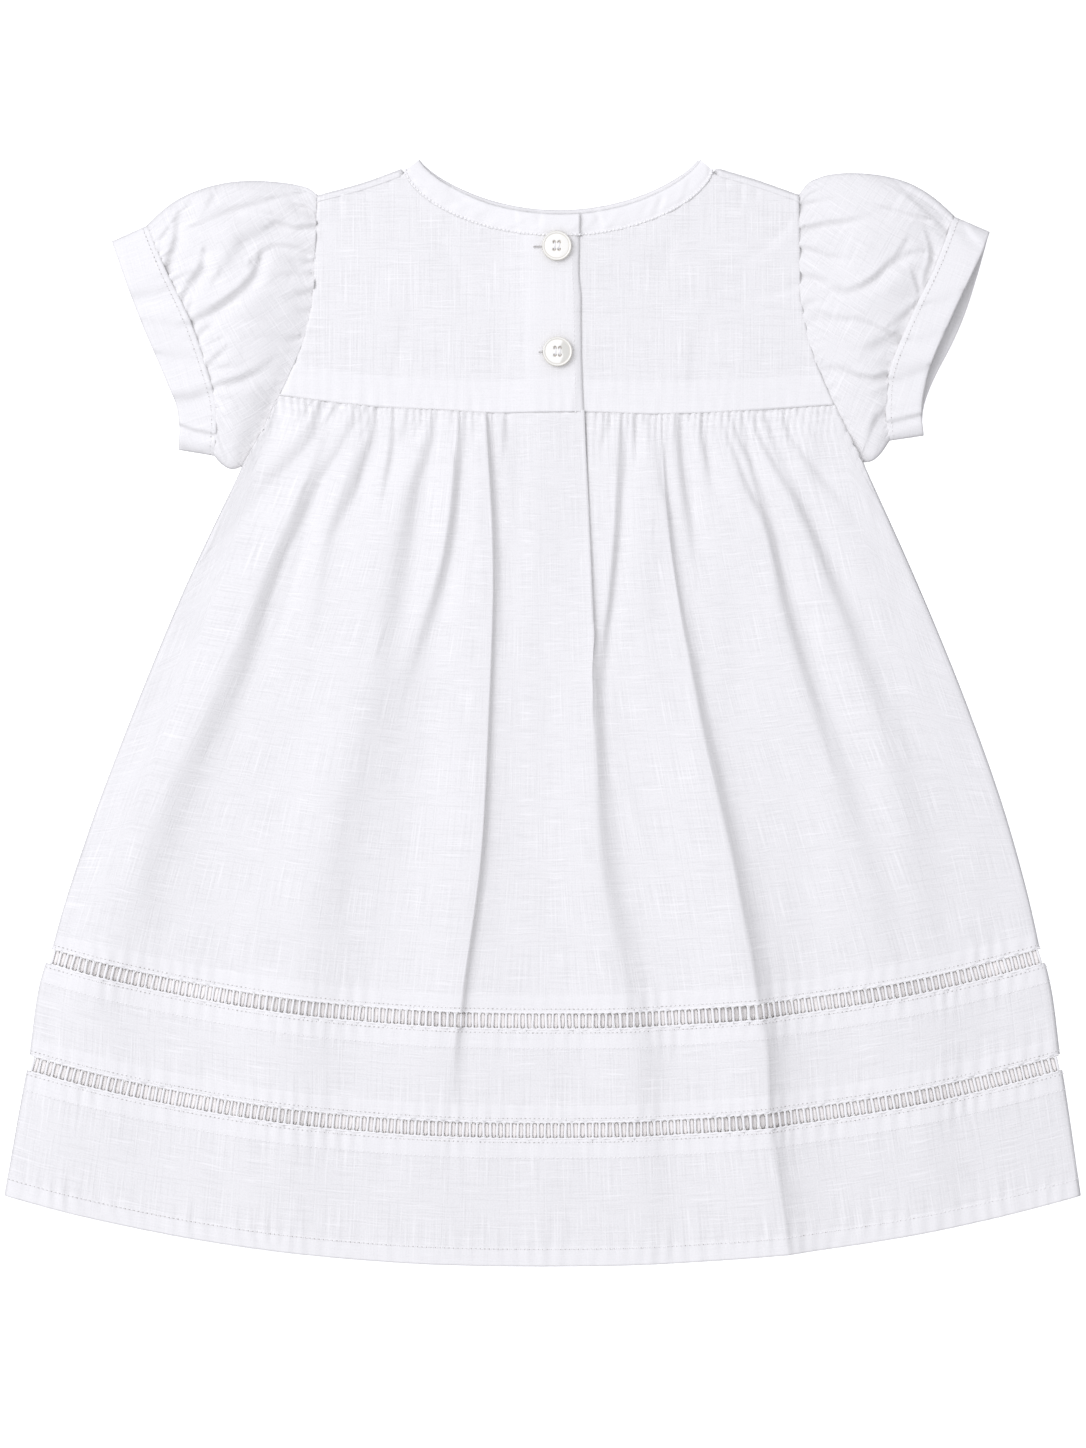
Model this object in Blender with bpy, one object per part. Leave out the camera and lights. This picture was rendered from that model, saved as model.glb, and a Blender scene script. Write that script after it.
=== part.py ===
"""A toddler's white cotton dress with short puff sleeves, laid flat on its front, the buttoned back up.

The frame: +X to the right and +Y to the neck as the back is looked down on, +Z up from the surface.
Tables and sizes are in millimetres, and MM carries them into the scene's metres. Each piece of cloth is a
wall, worked out from a few outlines, from the lie of the skirt's folds and from the rings of the sleeves.
"""

import math

import bpy
import numpy as np

MM = 0.001

# Cloth, and how the layers lie on each other
CLOTH = 1.0
SEAM_GAP = 0.3
FRONT_TOP = CLOTH
BACK_UNDER = FRONT_TOP + SEAM_GAP
BACK_TOP = BACK_UNDER + CLOTH
LAYER_STEP = CLOTH + SEAM_GAP
HIGHEST_UNDERSIDE = 4.8
STEEPEST_WALL = 1.8
YOKE_LENGTH = 84.0
SKIRT_LENGTH = 240.0
LEVEL_LENGTH = 101.8

# Neck: each edge is a dip of this centre, half width and depth, squarer as its fullness falls
NECK_SEAM = {"centre": 6.5, "half": 61.7, "lowest": 189.7, "depth": 26.7, "fullness": 0.62}
NECK_EDGE = {"centre": 7.0, "half": 56.0, "lowest": 199.0, "depth": 21.8, "fullness": 0.75}
FRONT_NECK_SEAM = {"centre": 6.5, "half": 61.7, "lowest": 191.6, "depth": 24.8, "fullness": 0.66}
FRONT_NECK_EDGE = {"centre": 6.5, "half": 55.5, "lowest": 200.8, "depth": 20.0, "fullness": 0.80}
NECK_STEPS = 14

# Shoulders: the fold at the top, and the back's seam a little below it
SHOULDER_FOLD_LEFT = [(-90.0, 206.6), (-71.0, 211.9), (-56.4, 217.2)]
SHOULDER_FOLD_RIGHT = [(102.6, 206.8), (85.0, 213.0), (69.6, 217.6)]
SHOULDER_LIP = 2.2
LIP_STEP = 0.1
BELOW_LIP = 0.12
SHOULDER_END_DROP = 1.4
SHOULDER_STEPS = 4
YOKE_ROWS = 6
ARMHOLE_PULL_BACK = 2
ARMHOLE_PULL_FRONT = 4

# Armholes from the shoulder to the underarm, across and up
ARMHOLE_LEFT = [
    (-90.2, 206.6), (-91.2, 184.8), (-92.2, 164.8), (-97.0, 144.8), (-105.0, 126.6), (-112.4, 111.4),
    (-119.8, 98.4),
]
ARMHOLE_RIGHT = [
    (103.0, 206.8), (103.0, 184.8), (103.6, 164.8), (109.0, 140.8), (116.6, 122.8), (122.8, 110.4),
    (128.0, 100.0),
]
CORNER_LEFT = (-105.0, 126.6)
CORNER_RIGHT = (116.6, 122.8)

# Back opening: the upper layer's edge and how far the lower layer runs under it
PLACKET_EDGE = 16.2
PLACKET_TOP_SHIFT = -1.3
UNDERLAP_END = -3.4
PLACKET_RISE_START = -13.0
PLACKET_RISE_END = -5.0
SLIT_END = 0.36
SLIT_FADE = 0.25
PLACKET_ROWS = 6
YOKE_SEAM = [
    (-105.0, 126.6), (-89.0, 124.4), (-66.6, 122.0), (-41.4, 120.8), (-19.0, 119.6), (-4.6, 119.8),
    (16.2, 120.0), (44.2, 119.2), (67.8, 119.7), (91.0, 121.0), (116.6, 122.8),
]

# Skirt: levels down it are 0 at the yoke seam, 1 at the upper insertion and 2 at the hem
SKIRT_LEVELS = (0.0, 0.25, 0.5, 0.75, 1.0, 1.5, 2.0)
HEM_ARC = {
    # value at level 1, value at level 2
    "middle": (-119.8, -221.6),
    "drop": (26.2, 28.4),
    "centre": (1.2, 0.0),
    "half": (198.2, 215.4),
}
HEM_ARC_POWER = 2.2

# Lines down the cloth: columns, height at the seam, then the place across at each of the seven levels
SKIRT_GUIDES = [
    ("side_left", 0, 98.4, (-119.8, -142.6, -162.6, -180.8, -195.8, -206.2, -215.2)),
    ("armhole_left", 2, 111.4, (-112.4, -131.0, -150.2, -169.8, -187.0, -195.2, -202.8)),
    ("corner_left", 2, 126.6, (-105.0, -122.6, -142.6, -163.0, -177.8, -185.2, -192.2)),
    ("fold_a", 10, 123.7, (-83.0, -106.2, -129.4, -153.8, -169.8, -175.8, -181.8)),
    ("between", 10, 121.7, (-60.6, -71.0, -88.2, -101.0, -112.2, -115.6, -119.0)),
    ("fold_d", 12, 120.3, (-33.0, -39.4, -51.4, -61.8, -68.2, -70.8, -73.0)),
    ("fold_e", 4, 119.7, (-22.2, -21.4, -22.2, -26.8, -35.8, -38.6, -41.0)),
    ("foot_e", 2, 119.6, (-19.4, -18.8, -19.4, -23.8, -32.0, -34.0, -35.6)),
    ("opening_edge", 8, 120.0, (16.2, 19.0, 20.8, 25.0, 35.0, 38.4, 41.4)),
    ("opening_foot", 2, 119.8, (17.2, 20.2, 22.8, 30.0, 41.0, 45.0, 47.8)),
    ("fold_h", 16, 119.3, (45.0, 52.0, 62.0, 74.0, 83.4, 88.4, 95.0)),
    ("foot_h", 2, 119.4, (47.8, 55.4, 66.0, 78.8, 88.8, 93.6, 100.0)),
    ("fold_i", 12, 120.2, (77.0, 93.0, 107.0, 130.0, 149.0, 155.6, 163.0)),
    ("corner_right", 18, 122.8, (116.6, 129.4, 145.0, 163.0, 175.0, 182.0, 188.6)),
    ("armhole_right", 2, 110.4, (122.8, 139.8, 157.4, 175.0, 187.4, 195.4, 202.4)),
    ("side_right", 2, 100.0, (128.0, 149.8, 169.6, 186.4, 198.6, 207.8, 215.2)),
]
GATHERED = [("corner_left", "foot_e"), ("opening_foot", "corner_right")]

# Folds: crest across and rise at each of the seven levels, then the reach to the left and right of the crest
SKIRT_FOLDS = [
    ("a", (-83, -106, -129, -154, -170, -176, -182), (1.0, 2.8, 3.4, 3.0, 1.2, 0.8, 0.5), 16, 10),
    ("b", (-67, -81, -92, -100, -104, -106, -108), (1.4, 2.2, 0.8, 0.0, 0.0, 0.0, 0.0), 6, 4),
    ("c", (-59, -66, -67, -81, -92, -95, -98), (1.4, 2.4, 2.6, 2.2, 1.0, 0.7, 0.4), 13, 8),
    ("d", (-33, -39.4, -51.4, -61.8, -68, -71, -73), (1.5, 2.8, 2.4, 1.2, 0.5, 0.3, 0.2), 9, 5),
    ("e", (-22.2, -21.4, -22.2, -26.8, -35.8, -38.6, -41), (1.6, 2.8, 3.3, 4.0, 3.6, 1.6, 0.6), 18, 2.2),
    ("opening", (16.2, 19, 20.8, 25, 35, 38.4, 41.4), (0.2, 0.6, 2.2, 2.6, 1.0, 0.5, 0.3), 15, 2.4),
    ("g", (31.6, 29.0, 23.5, 30, 42, 44, 46), (1.8, 2.0, 0.8, 0.3, 0.2, 0.1, 0.0), 7, 2.0),
    ("h", (45, 52, 62, 74, 83.4, 88.4, 95), (1.6, 2.8, 3.9, 4.7, 4.9, 4.3, 3.2), 22, 3.0),
    ("i", (77, 93, 107, 130, 149, 156, 163), (1.4, 2.8, 3.2, 2.8, 1.4, 0.9, 0.6), 15, 9),
    ("j", (84, 110, 132, 150, 168, 173, 178), (1.2, 2.2, 2.0, 1.1, 0.5, 0.3, 0.2), 9, 7),
    ("k", (97, 138, 150, 160, 170, 175, 180), (1.2, 1.0, 0.0, 0.0, 0.0, 0.0, 0.0), 7, 6),
]
SIDE_SETTLE = 14.0
SWELL = 0.5
SWELL_PITCH = 46.0

# Gathers at the yoke seam: the height of a full one and how far down the levels they run
GATHER_RISE = 1.3
GATHER_RUN = (0.07, 0.16)
FINE_ROWS = (0.0, 0.02, 0.05, 0.09, 0.14)
PLAIN_ROWS = (0.2, 0.28, SLIT_END, 0.46, 0.57, 0.68, 0.79, 0.9, 1.0)

# The insertions (rows of bars between two rails), the bands and the turned hem
UPPER_INSERTION = {"from": 1.0, "to": 1.072, "left": -196.2, "right": 199.0, "slots": 148}
LOWER_INSERTION = {"from": 1.43, "to": 1.502, "left": -204.2, "right": 206.2, "slots": 150}
BAR_WIDTH = 1.15
RAIL_WIDTH = 0.85
SLOTS_PER_RAIL_STEP = 4
HEM_TURN = 7.5
HEM_THICKENING = 0.4
HEM_STEP = 0.01
BAND_ROWS = 3
FRONT_ROWS = 5
FRONT_COLUMNS = 15

# Sleeves: the cuff's seam and outer edges from the top to the underarm, and the crown's bulge
LEFT_CUFF_SEAM = [
    (-158.2, 194.6), (-150.8, 177.0), (-140.5, 155.5), (-134.4, 137.6), (-130.6, 122.8), (-131.2, 102.4),
]
LEFT_CUFF_EDGE = [
    (-172.2, 188.2), (-161.6, 159.1), (-150.2, 132.0), (-146.2, 122.0), (-145.2, 114.8), (-145.5, 104.8),
]
RIGHT_CUFF_SEAM = [
    (164.6, 198.3), (156.4, 177.0), (148.2, 159.8), (143.2, 148.4), (138.6, 135.6), (137.4, 119.8),
    (138.6, 108.4),
]
RIGHT_CUFF_EDGE = [
    (178.8, 192.0), (176.4, 185.8), (163.6, 158.4), (152.8, 130.5), (151.4, 119.2), (152.4, 110.5),
]
RIGHT_CUFF_UNDER_EDGE = [
    (179.8, 189.6), (178.2, 182.4), (171.8, 164.8), (164.6, 148.8), (157.4, 132.8), (153.6, 120.8),
    (152.4, 108.8),
]
# Share of the way from armhole to cuff, bulge of the left and right crowns' outlines, height of the puff
SLEEVE_RINGS = [
    (0.00, 0.0, 0.0, 4.0),
    (0.05, 3.2, 4.5, 6.0),
    (0.13, 5.8, 8.0, 8.6),
    (0.25, 8.4, 10.6, 11.4),
    (0.40, 10.6, 12.0, 13.2),
    (0.55, 11.4, 12.2, 13.4),
    (0.70, 10.4, 10.8, 12.2),
    (0.84, 7.4, 7.2, 10.0),
    (0.94, 3.2, 3.0, 8.4),
    (1.00, 0.0, 0.0, 7.8),
]
# Creases over the puff: start, middle and end across and up, the rise of the ridge and its reach
LEFT_SLEEVE_CREASES = [
    ((-138, 157), (-123, 165), (-113, 180), 1.6, 5.0),
    ((-131, 130), (-121, 133), (-113, 140), 1.0, 5.0),
    ((-94, 186), (-104, 187), (-112, 180), 1.2, 4.0),
    ((-94, 174), (-103, 175), (-110, 172), 1.0, 3.5),
    ((-152, 184), (-146, 190), (-140, 200), 1.0, 4.0),
]
RIGHT_SLEEVE_CREASES = [
    ((119, 171), (131, 174), (141, 183), 1.6, 5.0),
    ((104, 193), (115, 190), (127, 185), 1.2, 4.0),
    ((153, 193), (156, 186), (154, 178), 1.0, 4.0),
    ((123, 159), (134, 153), (142, 150), 1.0, 4.5),
    ((130, 140), (134, 137), (138, 134), 1.0, 4.5),
]
RING_UPPER_STEPS = 16
RING_LOWER_STEPS = 6
RING_FULLNESS = 0.62
UNDERARM_FALL = 0.25
SLEEVE_CLEARANCE = 0.5
CROWN_FADE = 3
UNDERARM_DROP = 3.0
UNDERARM_FADE = 6
CREASE_POINTS = 7
CUFF_CLOTH = 1.2
# Share of the way over the cuff, height of the left and of the right one
CUFF_RINGS = [
    (0.0, 7.8, 7.8),
    (0.5, 7.7, 8.7),
    (1.0, 7.6, 9.4),
]

# Buttons
BUTTON_ACROSS = 11.8
BUTTON_THICK = 2.3
BUTTON_RIM = 0.9
BUTTON_DISH = 0.45
BUTTON_HOLE = 1.4
BUTTON_HOLE_SPREAD = (1.1, 1.4)
BUTTON_SEGMENTS = 20
HOLE_SEGMENTS = 6
BUTTONS = [("button_upper", 5.7, 186.0), ("button_lower", 6.0, 143.8)]

# Finishes: colour, roughness
FINISHES = {
    "front cloth": ((0.80, 0.80, 0.82), 0.9),
    "back cloth": ((0.84, 0.84, 0.86), 0.9),
    "band cloth": ((0.88, 0.88, 0.90), 0.9),
    "insertion thread": ((0.90, 0.90, 0.90), 0.85),
    "pearl button": ((0.86, 0.85, 0.80), 0.25),
}


def smooth(keys, values):
    """A smooth reading of a table of numbers or points, one for each key."""
    keys = np.asarray(keys, float)
    values = np.asarray(values, float)
    slopes = np.gradient(values, keys, axis=0)

    def read(key):
        key = min(max(key, keys[0]), keys[-1])
        low = min(int(np.searchsorted(keys, key, side="right")) - 1, len(keys) - 2)
        span = keys[low + 1] - keys[low]
        t = (key - keys[low]) / span
        ease = t * t * (3.0 - 2.0 * t)
        leave = t * (1.0 - t) * (1.0 - t) * span
        arrive = t * t * (t - 1.0) * span
        step = values[low + 1] - values[low]
        return values[low] + ease * step + leave * slopes[low] + arrive * slopes[low + 1]

    return read


def curve(points):
    """A smooth curve through points, read by the share of its length."""
    points = np.asarray(points, float)
    steps = np.linalg.norm(np.diff(points, axis=0), axis=1)
    lengths = np.concatenate([[0.0], np.cumsum(steps)])
    return smooth(lengths / lengths[-1], points)


def blend(low, high, share):
    return low + (high - low) * share


def ramp(value, start, end):
    share = min(max((value - start) / (end - start), 0.0), 1.0)
    return share * share * (3.0 - 2.0 * share)


def dip(edge, across):
    """Height of a neck edge at a place across."""
    side = min(abs(across - edge["centre"]) / edge["half"], 1.0)
    return edge["lowest"] + edge["depth"] * (1.0 - (1.0 - side * side) ** edge["fullness"])


GUIDE_NAMES = [name for name, columns, seam, places in SKIRT_GUIDES]
GUIDE_SEAMS = [seam for name, columns, seam, places in SKIRT_GUIDES]
GUIDE_READS = [smooth(SKIRT_LEVELS, places) for name, columns, seam, places in SKIRT_GUIDES]
FOLD_READS = [
    (smooth(SKIRT_LEVELS, crests), smooth(SKIRT_LEVELS, rises), left, right)
    for name, crests, rises, left, right in SKIRT_FOLDS
]


def hem_arc(across, level):
    """Height of the level line, one of the arcs that the insertions and the hem follow."""
    share = level - 1.0
    middle, drop, centre, half = (blend(*HEM_ARC[key], share) for key in ("middle", "drop", "centre", "half"))
    return middle + drop * (abs(across - centre) / half) ** HEM_ARC_POWER


def skirt_across(line, level):
    """Place across of a line down the cloth; line counts the guides and may lie between two."""
    low = min(int(line), len(GUIDE_READS) - 2)
    return blend(float(GUIDE_READS[low](level)), float(GUIDE_READS[low + 1](level)), line - low)


def skirt_place(line, level):
    across = skirt_across(line, level)
    if level >= 1.0:
        return across, hem_arc(across, level)
    low = min(int(line), len(GUIDE_SEAMS) - 2)
    seam = blend(GUIDE_SEAMS[low], GUIDE_SEAMS[low + 1], line - low)
    return across, blend(seam, hem_arc(skirt_across(line, 1.0), 1.0), level)


def fold_height(across, level):
    """Rise of the skirt's large folds over its flat lie."""
    total = SWELL * (1.0 + math.sin(across / SWELL_PITCH * 2.0 * math.pi + level)) / 2.0
    for crest, rise, left, right in FOLD_READS:
        off = across - float(crest(level))
        reach = left if off < 0.0 else right
        total += max(float(rise(level)), 0.0) * math.exp(-((off / reach) ** 2))
    from_side = min(
        across - float(GUIDE_READS[0](level)),
        float(GUIDE_READS[-1](level)) - across,
    )
    return total * ramp(from_side, 0.0, SIDE_SETTLE)


def overlap_height(across, level):
    """Rise of the upper layer where it lies on the strip under the back opening."""
    if across > float(GUIDE_READS[GUIDE_NAMES.index("opening_edge")](level)) + SEAM_GAP:
        return 0.0
    fade = 1.0 - ramp(level, SLIT_END, SLIT_END + SLIT_FADE)
    return LAYER_STEP * ramp(across, PLACKET_RISE_START, PLACKET_RISE_END) * fade


def back_layer(across, up, level):
    """Upper and lower point of the back's cloth at a place on the skirt."""
    overlap = overlap_height(across, level)
    rise = fold_height(across, level)
    slope = fold_height(across + 0.5, level) - fold_height(across - 0.5, level)
    wall = CLOTH * min(math.sqrt(1.0 + slope * slope), STEEPEST_WALL)
    top = BACK_TOP + overlap + rise
    under = min(max(top - wall, BACK_UNDER + overlap), max(HIGHEST_UNDERSIDE, BACK_UNDER + overlap))
    return (across, up, top), (across, up, under)


def gather_factor(index):
    """Uneven but fixed strength of the gather with this number."""
    return 0.62 + 0.38 * math.sin(index * 2.4) * math.cos(index * 0.7 + 1.0)


def finish(name):
    material = bpy.data.materials.get(name)
    if material is None:
        colour, roughness = FINISHES[name]
        material = bpy.data.materials.new(name)
        material.use_nodes = True
        shader = material.node_tree.nodes["Principled BSDF"]
        shader.inputs["Base Color"].default_value = (*colour, 1.0)
        shader.inputs["Roughness"].default_value = roughness
        shader.inputs["Metallic"].default_value = 0.0
    return material


def add_piece(name, points, faces, look):
    mesh = bpy.data.meshes.new(name)
    mesh.from_pydata([tuple(value * MM for value in point) for point in points], [], faces)
    mesh.materials.append(finish(look))
    mesh.shade_smooth()
    mesh.set_sharp_from_angle(angle=math.radians(50.0))
    piece = bpy.data.objects.new(name, mesh)
    bpy.context.scene.collection.objects.link(piece)
    return piece


def cloth_wall(name, tops, unders, faces, look):
    """Closes a sheet of faces, seen from above, into a wall between its upper and lower points."""
    count = len(tops)
    used = {}
    for face in faces:
        for start, end in zip(face, face[1:] + face[:1]):
            used[(start, end)] = True
    rims = [
        (end, start, start + count, end + count)
        for start, end in used
        if (end, start) not in used
    ]
    lowers = [tuple(corner + count for corner in reversed(face)) for face in faces]
    return add_piece(name, tops + unders, faces + lowers + rims, look)


def row_faces(upper, lower):
    """Faces between two rows of numbered points; the lower row may have half the steps of the upper."""
    if len(upper) == len(lower):
        return [
            (lower[k], lower[k + 1], upper[k + 1], upper[k])
            for k in range(len(upper) - 1)
        ]
    faces = []
    for k in range(len(lower) - 1):
        left, middle, right = upper[2 * k : 2 * k + 3]
        faces.append((lower[k], middle, left))
        faces.append((lower[k], lower[k + 1], middle))
        faces.append((lower[k + 1], right, middle))
    return faces


def grid_wall(name, rows, layer, look):
    """A wall over rows of places, each read as an upper and a lower point by layer."""
    tops, unders, numbers, faces = [], [], [], []
    for row in rows:
        numbers.append(list(range(len(tops), len(tops) + len(row))))
        for place in row:
            top, under = layer(*place)
            tops.append(top)
            unders.append(under)
    for upper, lower in zip(numbers, numbers[1:]):
        faces.extend(row_faces(upper, lower))
    return cloth_wall(name, tops, unders, faces, look)


def flat_layer(top, wall):
    def layer(across, up):
        return (across, up, top), (across, up, top - wall)

    return layer


# Skirt


def skirt_lines():
    """Fine lines down the cloth, as guide counts, with the number of the gather each belongs to."""
    lines = [0.0]
    for guide, (name, columns, seam, places) in enumerate(SKIRT_GUIDES):
        for step in range(columns):
            lines.append(guide - 1 + (step + 1) / columns)
    return lines


def gathered(line):
    return any(
        GUIDE_NAMES.index(first) < line < GUIDE_NAMES.index(last)
        for first, last in GATHERED
    )


def make_back_skirt():
    lines = skirt_lines()
    edge_line = GUIDE_NAMES.index("opening_edge")
    foot_line = GUIDE_NAMES.index("opening_foot")
    seam_share = SEAM_GAP / 2.0 / SKIRT_LENGTH
    tops, unders, rows = [], [], []
    for level in FINE_ROWS + PLAIN_ROWS:
        fine = level in FINE_ROWS
        picked = lines if fine else lines[::2]
        placed = min(max(level, seam_share), 1.0 - seam_share)
        row = []
        for number, line in enumerate(picked):
            across, up = skirt_place(line, placed)
            top, under = back_layer(across, up, placed)
            if fine and number % 2 and gathered(line):
                strength = gather_factor(number)
                run = blend(*GATHER_RUN, strength)
                lift = GATHER_RISE * strength * max(1.0 - level / run, 0.0)
                top = (top[0], top[1], top[2] + lift)
            row.append(len(tops))
            tops.append(top)
            unders.append(under)
        rows.append((level, picked, row))
    faces = []
    for (level, upper_lines, upper), (below, lower_lines, lower) in zip(rows, rows[1:]):
        slit = below <= SLIT_END
        left_end = upper_lines.index(edge_line) + 1 if slit else len(upper)
        lower_end = lower_lines.index(edge_line) + 1 if slit else len(lower)
        faces.extend(row_faces(upper[:left_end], lower[:lower_end]))
        if slit:
            right_start = upper_lines.index(foot_line)
            lower_start = lower_lines.index(foot_line)
            faces.extend(row_faces(upper[right_start:], lower[lower_start:]))
    return cloth_wall("back_skirt", tops, unders, faces, "back cloth")


def band_rows(levels, lines):
    return [[(*skirt_place(line, level), level) for line in lines] for level in levels]


def make_back_bands():
    lines = skirt_lines()[::2]
    share = SEAM_GAP / LEVEL_LENGTH
    top, bottom = UPPER_INSERTION["to"] + share, LOWER_INSERTION["from"] - share
    rows = band_rows(np.linspace(top, bottom, BAND_ROWS), lines)
    grid_wall("back_middle_band", rows, back_layer, "band cloth")

    def hem_layer(across, up, level):
        upper, under = back_layer(across, up, level)
        thicker = HEM_THICKENING if level > turn - HEM_STEP / 2.0 else 0.0
        return (across, up, upper[2] + thicker), under

    top = LOWER_INSERTION["to"] + share
    turn = 2.0 - HEM_TURN / LEVEL_LENGTH
    levels = [top, blend(top, turn, 0.5), turn - HEM_STEP, turn, 2.0]
    grid_wall("back_hem_band", band_rows(levels, lines), hem_layer, "band cloth")


def make_back_insertion(name, insertion):
    """A strip of bars between two rails; the slots between the bars are cut through."""
    slots = insertion["slots"]
    pitch = (insertion["right"] - insertion["left"] - BAR_WIDTH) / slots
    margin = RAIL_WIDTH / LEVEL_LENGTH
    levels = (insertion["from"], insertion["from"] + margin, insertion["to"] - margin, insertion["to"])
    tops, unders = [], []

    def point(across, level):
        top, under = back_layer(across, hem_arc(across, level), level)
        tops.append(top)
        unders.append(under)
        return len(tops) - 1

    bars = [insertion["left"] + pitch * number for number in range(slots + 1)]
    edges = [place for bar in bars for place in (bar, bar + BAR_WIDTH)]
    upper_inner = [point(place, levels[1]) for place in edges]
    lower_inner = [point(place, levels[2]) for place in edges]
    step = 2 * SLOTS_PER_RAIL_STEP
    corners = list(range(0, len(edges) - 1, step)) + [len(edges) - 1]
    upper_outer = [point(edges[corner], levels[0]) for corner in corners]
    lower_outer = [point(edges[corner], levels[3]) for corner in corners]

    faces = []
    for bar in range(slots + 1):
        left, right = 2 * bar, 2 * bar + 1
        faces.append((lower_inner[left], lower_inner[right], upper_inner[right], upper_inner[left]))
    for number, (start, end) in enumerate(zip(corners, corners[1:])):
        upper_run = tuple(reversed(upper_inner[start : end + 1]))
        faces.extend(fan(upper_outer[number + 1], upper_outer[number], upper_run[::-1]))
        lower_run = lower_inner[start : end + 1]
        faces.extend(fan(lower_outer[number], lower_outer[number + 1], tuple(reversed(lower_run))))
    return cloth_wall(name, tops, unders, faces, "insertion thread")


def fan(first, second, run):
    """Triangles between one long edge, first to second, and the run of short edges opposite it."""
    half = len(run) // 2
    faces = []
    for k in range(len(run) - 1):
        anchor = second if k < half else first
        faces.append((anchor, run[k], run[k + 1]))
    faces.append((first, second, run[half]))
    return faces


def make_front_skirt():
    share = SEAM_GAP / LEVEL_LENGTH
    seam_share = SEAM_GAP / SKIRT_LENGTH
    lines = np.linspace(0.0, len(SKIRT_GUIDES) - 1.0, FRONT_COLUMNS + 1)
    flat = flat_layer(FRONT_TOP, CLOTH)

    def layer(across, up, level):
        return flat(across, up)

    upper_top, upper_foot = UPPER_INSERTION["from"], UPPER_INSERTION["to"]
    lower_top, lower_foot = LOWER_INSERTION["from"], LOWER_INSERTION["to"]
    parts = [
        ("front_skirt", np.linspace(seam_share / 2.0, 1.0 - seam_share, FRONT_ROWS), "front cloth"),
        ("front_insertion_upper", (upper_top, upper_foot), "insertion thread"),
        ("front_middle_band", (upper_foot + share, lower_top - share), "front cloth"),
        ("front_insertion_lower", (lower_top, lower_foot), "insertion thread"),
        ("front_hem_band", (lower_foot + share, 2.0), "front cloth"),
    ]
    for name, levels, look in parts:
        grid_wall(name, band_rows(levels, lines), layer, look)


def make_placket_strip():
    """The strip under the back opening: the lower layer that the upper edge closes over."""
    edge = GUIDE_READS[GUIDE_NAMES.index("opening_edge")]
    foot = GUIDE_READS[GUIDE_NAMES.index("opening_foot")]
    line = GUIDE_NAMES.index("opening_edge")
    rows = []
    for level in np.linspace(SEAM_GAP / 2.0 / SKIRT_LENGTH, SLIT_END, PLACKET_ROWS):
        left = UNDERLAP_END + float(edge(level)) - PLACKET_EDGE
        right = float(foot(level)) - SEAM_GAP
        up = skirt_place(line, level)[1]
        rows.append([(across, up) for across in (left, blend(left, right, 0.5), right)])
    grid_wall("back_placket_strip", rows, flat_layer(BACK_TOP, CLOTH), "band cloth")


# Yoke and neck


def yoke_places(top_points, armhole, seam_points, side):
    """Rows of places from the top edge to the yoke seam, with the armhole at one side."""
    top_edge, seam = np.array(top_points), np.array(seam_points)
    across = np.linspace(0.0, 1.0, len(top_edge))
    weights = 1.0 - across if side == "left" else across
    end = 0 if side == "left" else -1
    for share in np.linspace(0.0, 1.0, YOKE_ROWS):
        row = blend(top_edge, seam, share)
        pull = armhole(share) - row[end]
        row += np.outer(weights**ARMHOLE_PULL_BACK, pull)
        yield [tuple(place) for place in row]


def armhole_part(points, top, corner):
    """The armhole's stretch beside the yoke, from the shoulder seam to the yoke's corner."""
    kept = [point for point in points[1:] if point[1] > corner[1] + 1.0]
    return curve([top] + kept + [corner])


def overlap_layer(top, wall):
    """A flat layer that climbs onto the lower layer near the back opening."""

    def layer(across, up):
        lift = LAYER_STEP * ramp(across, PLACKET_RISE_START, PLACKET_RISE_END)
        return (across, up, top + lift), (across, up, top + lift - wall)

    return layer


def lowered(fold, distance):
    """The seam that runs beside a shoulder fold, a little further down."""
    return [(across, up - distance) for across, up in fold]


def neck_run(edge, start, end):
    """Points along a neck edge, closer together where it climbs to the shoulder."""
    angles = np.linspace(
        math.asin((start - edge["centre"]) / edge["half"]),
        math.asin((end - edge["centre"]) / edge["half"]),
        NECK_STEPS + 1,
    )
    places = [edge["centre"] + edge["half"] * math.sin(angle) for angle in angles]
    return [(across, dip(edge, across)) for across in places]


def yoke_seam_run(start, end, steps, lift):
    seam = smooth([point[0] for point in YOKE_SEAM], [point[1] for point in YOKE_SEAM])
    return [(across, float(seam(across)) + lift) for across in np.linspace(start, end, steps + 1)]


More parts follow.
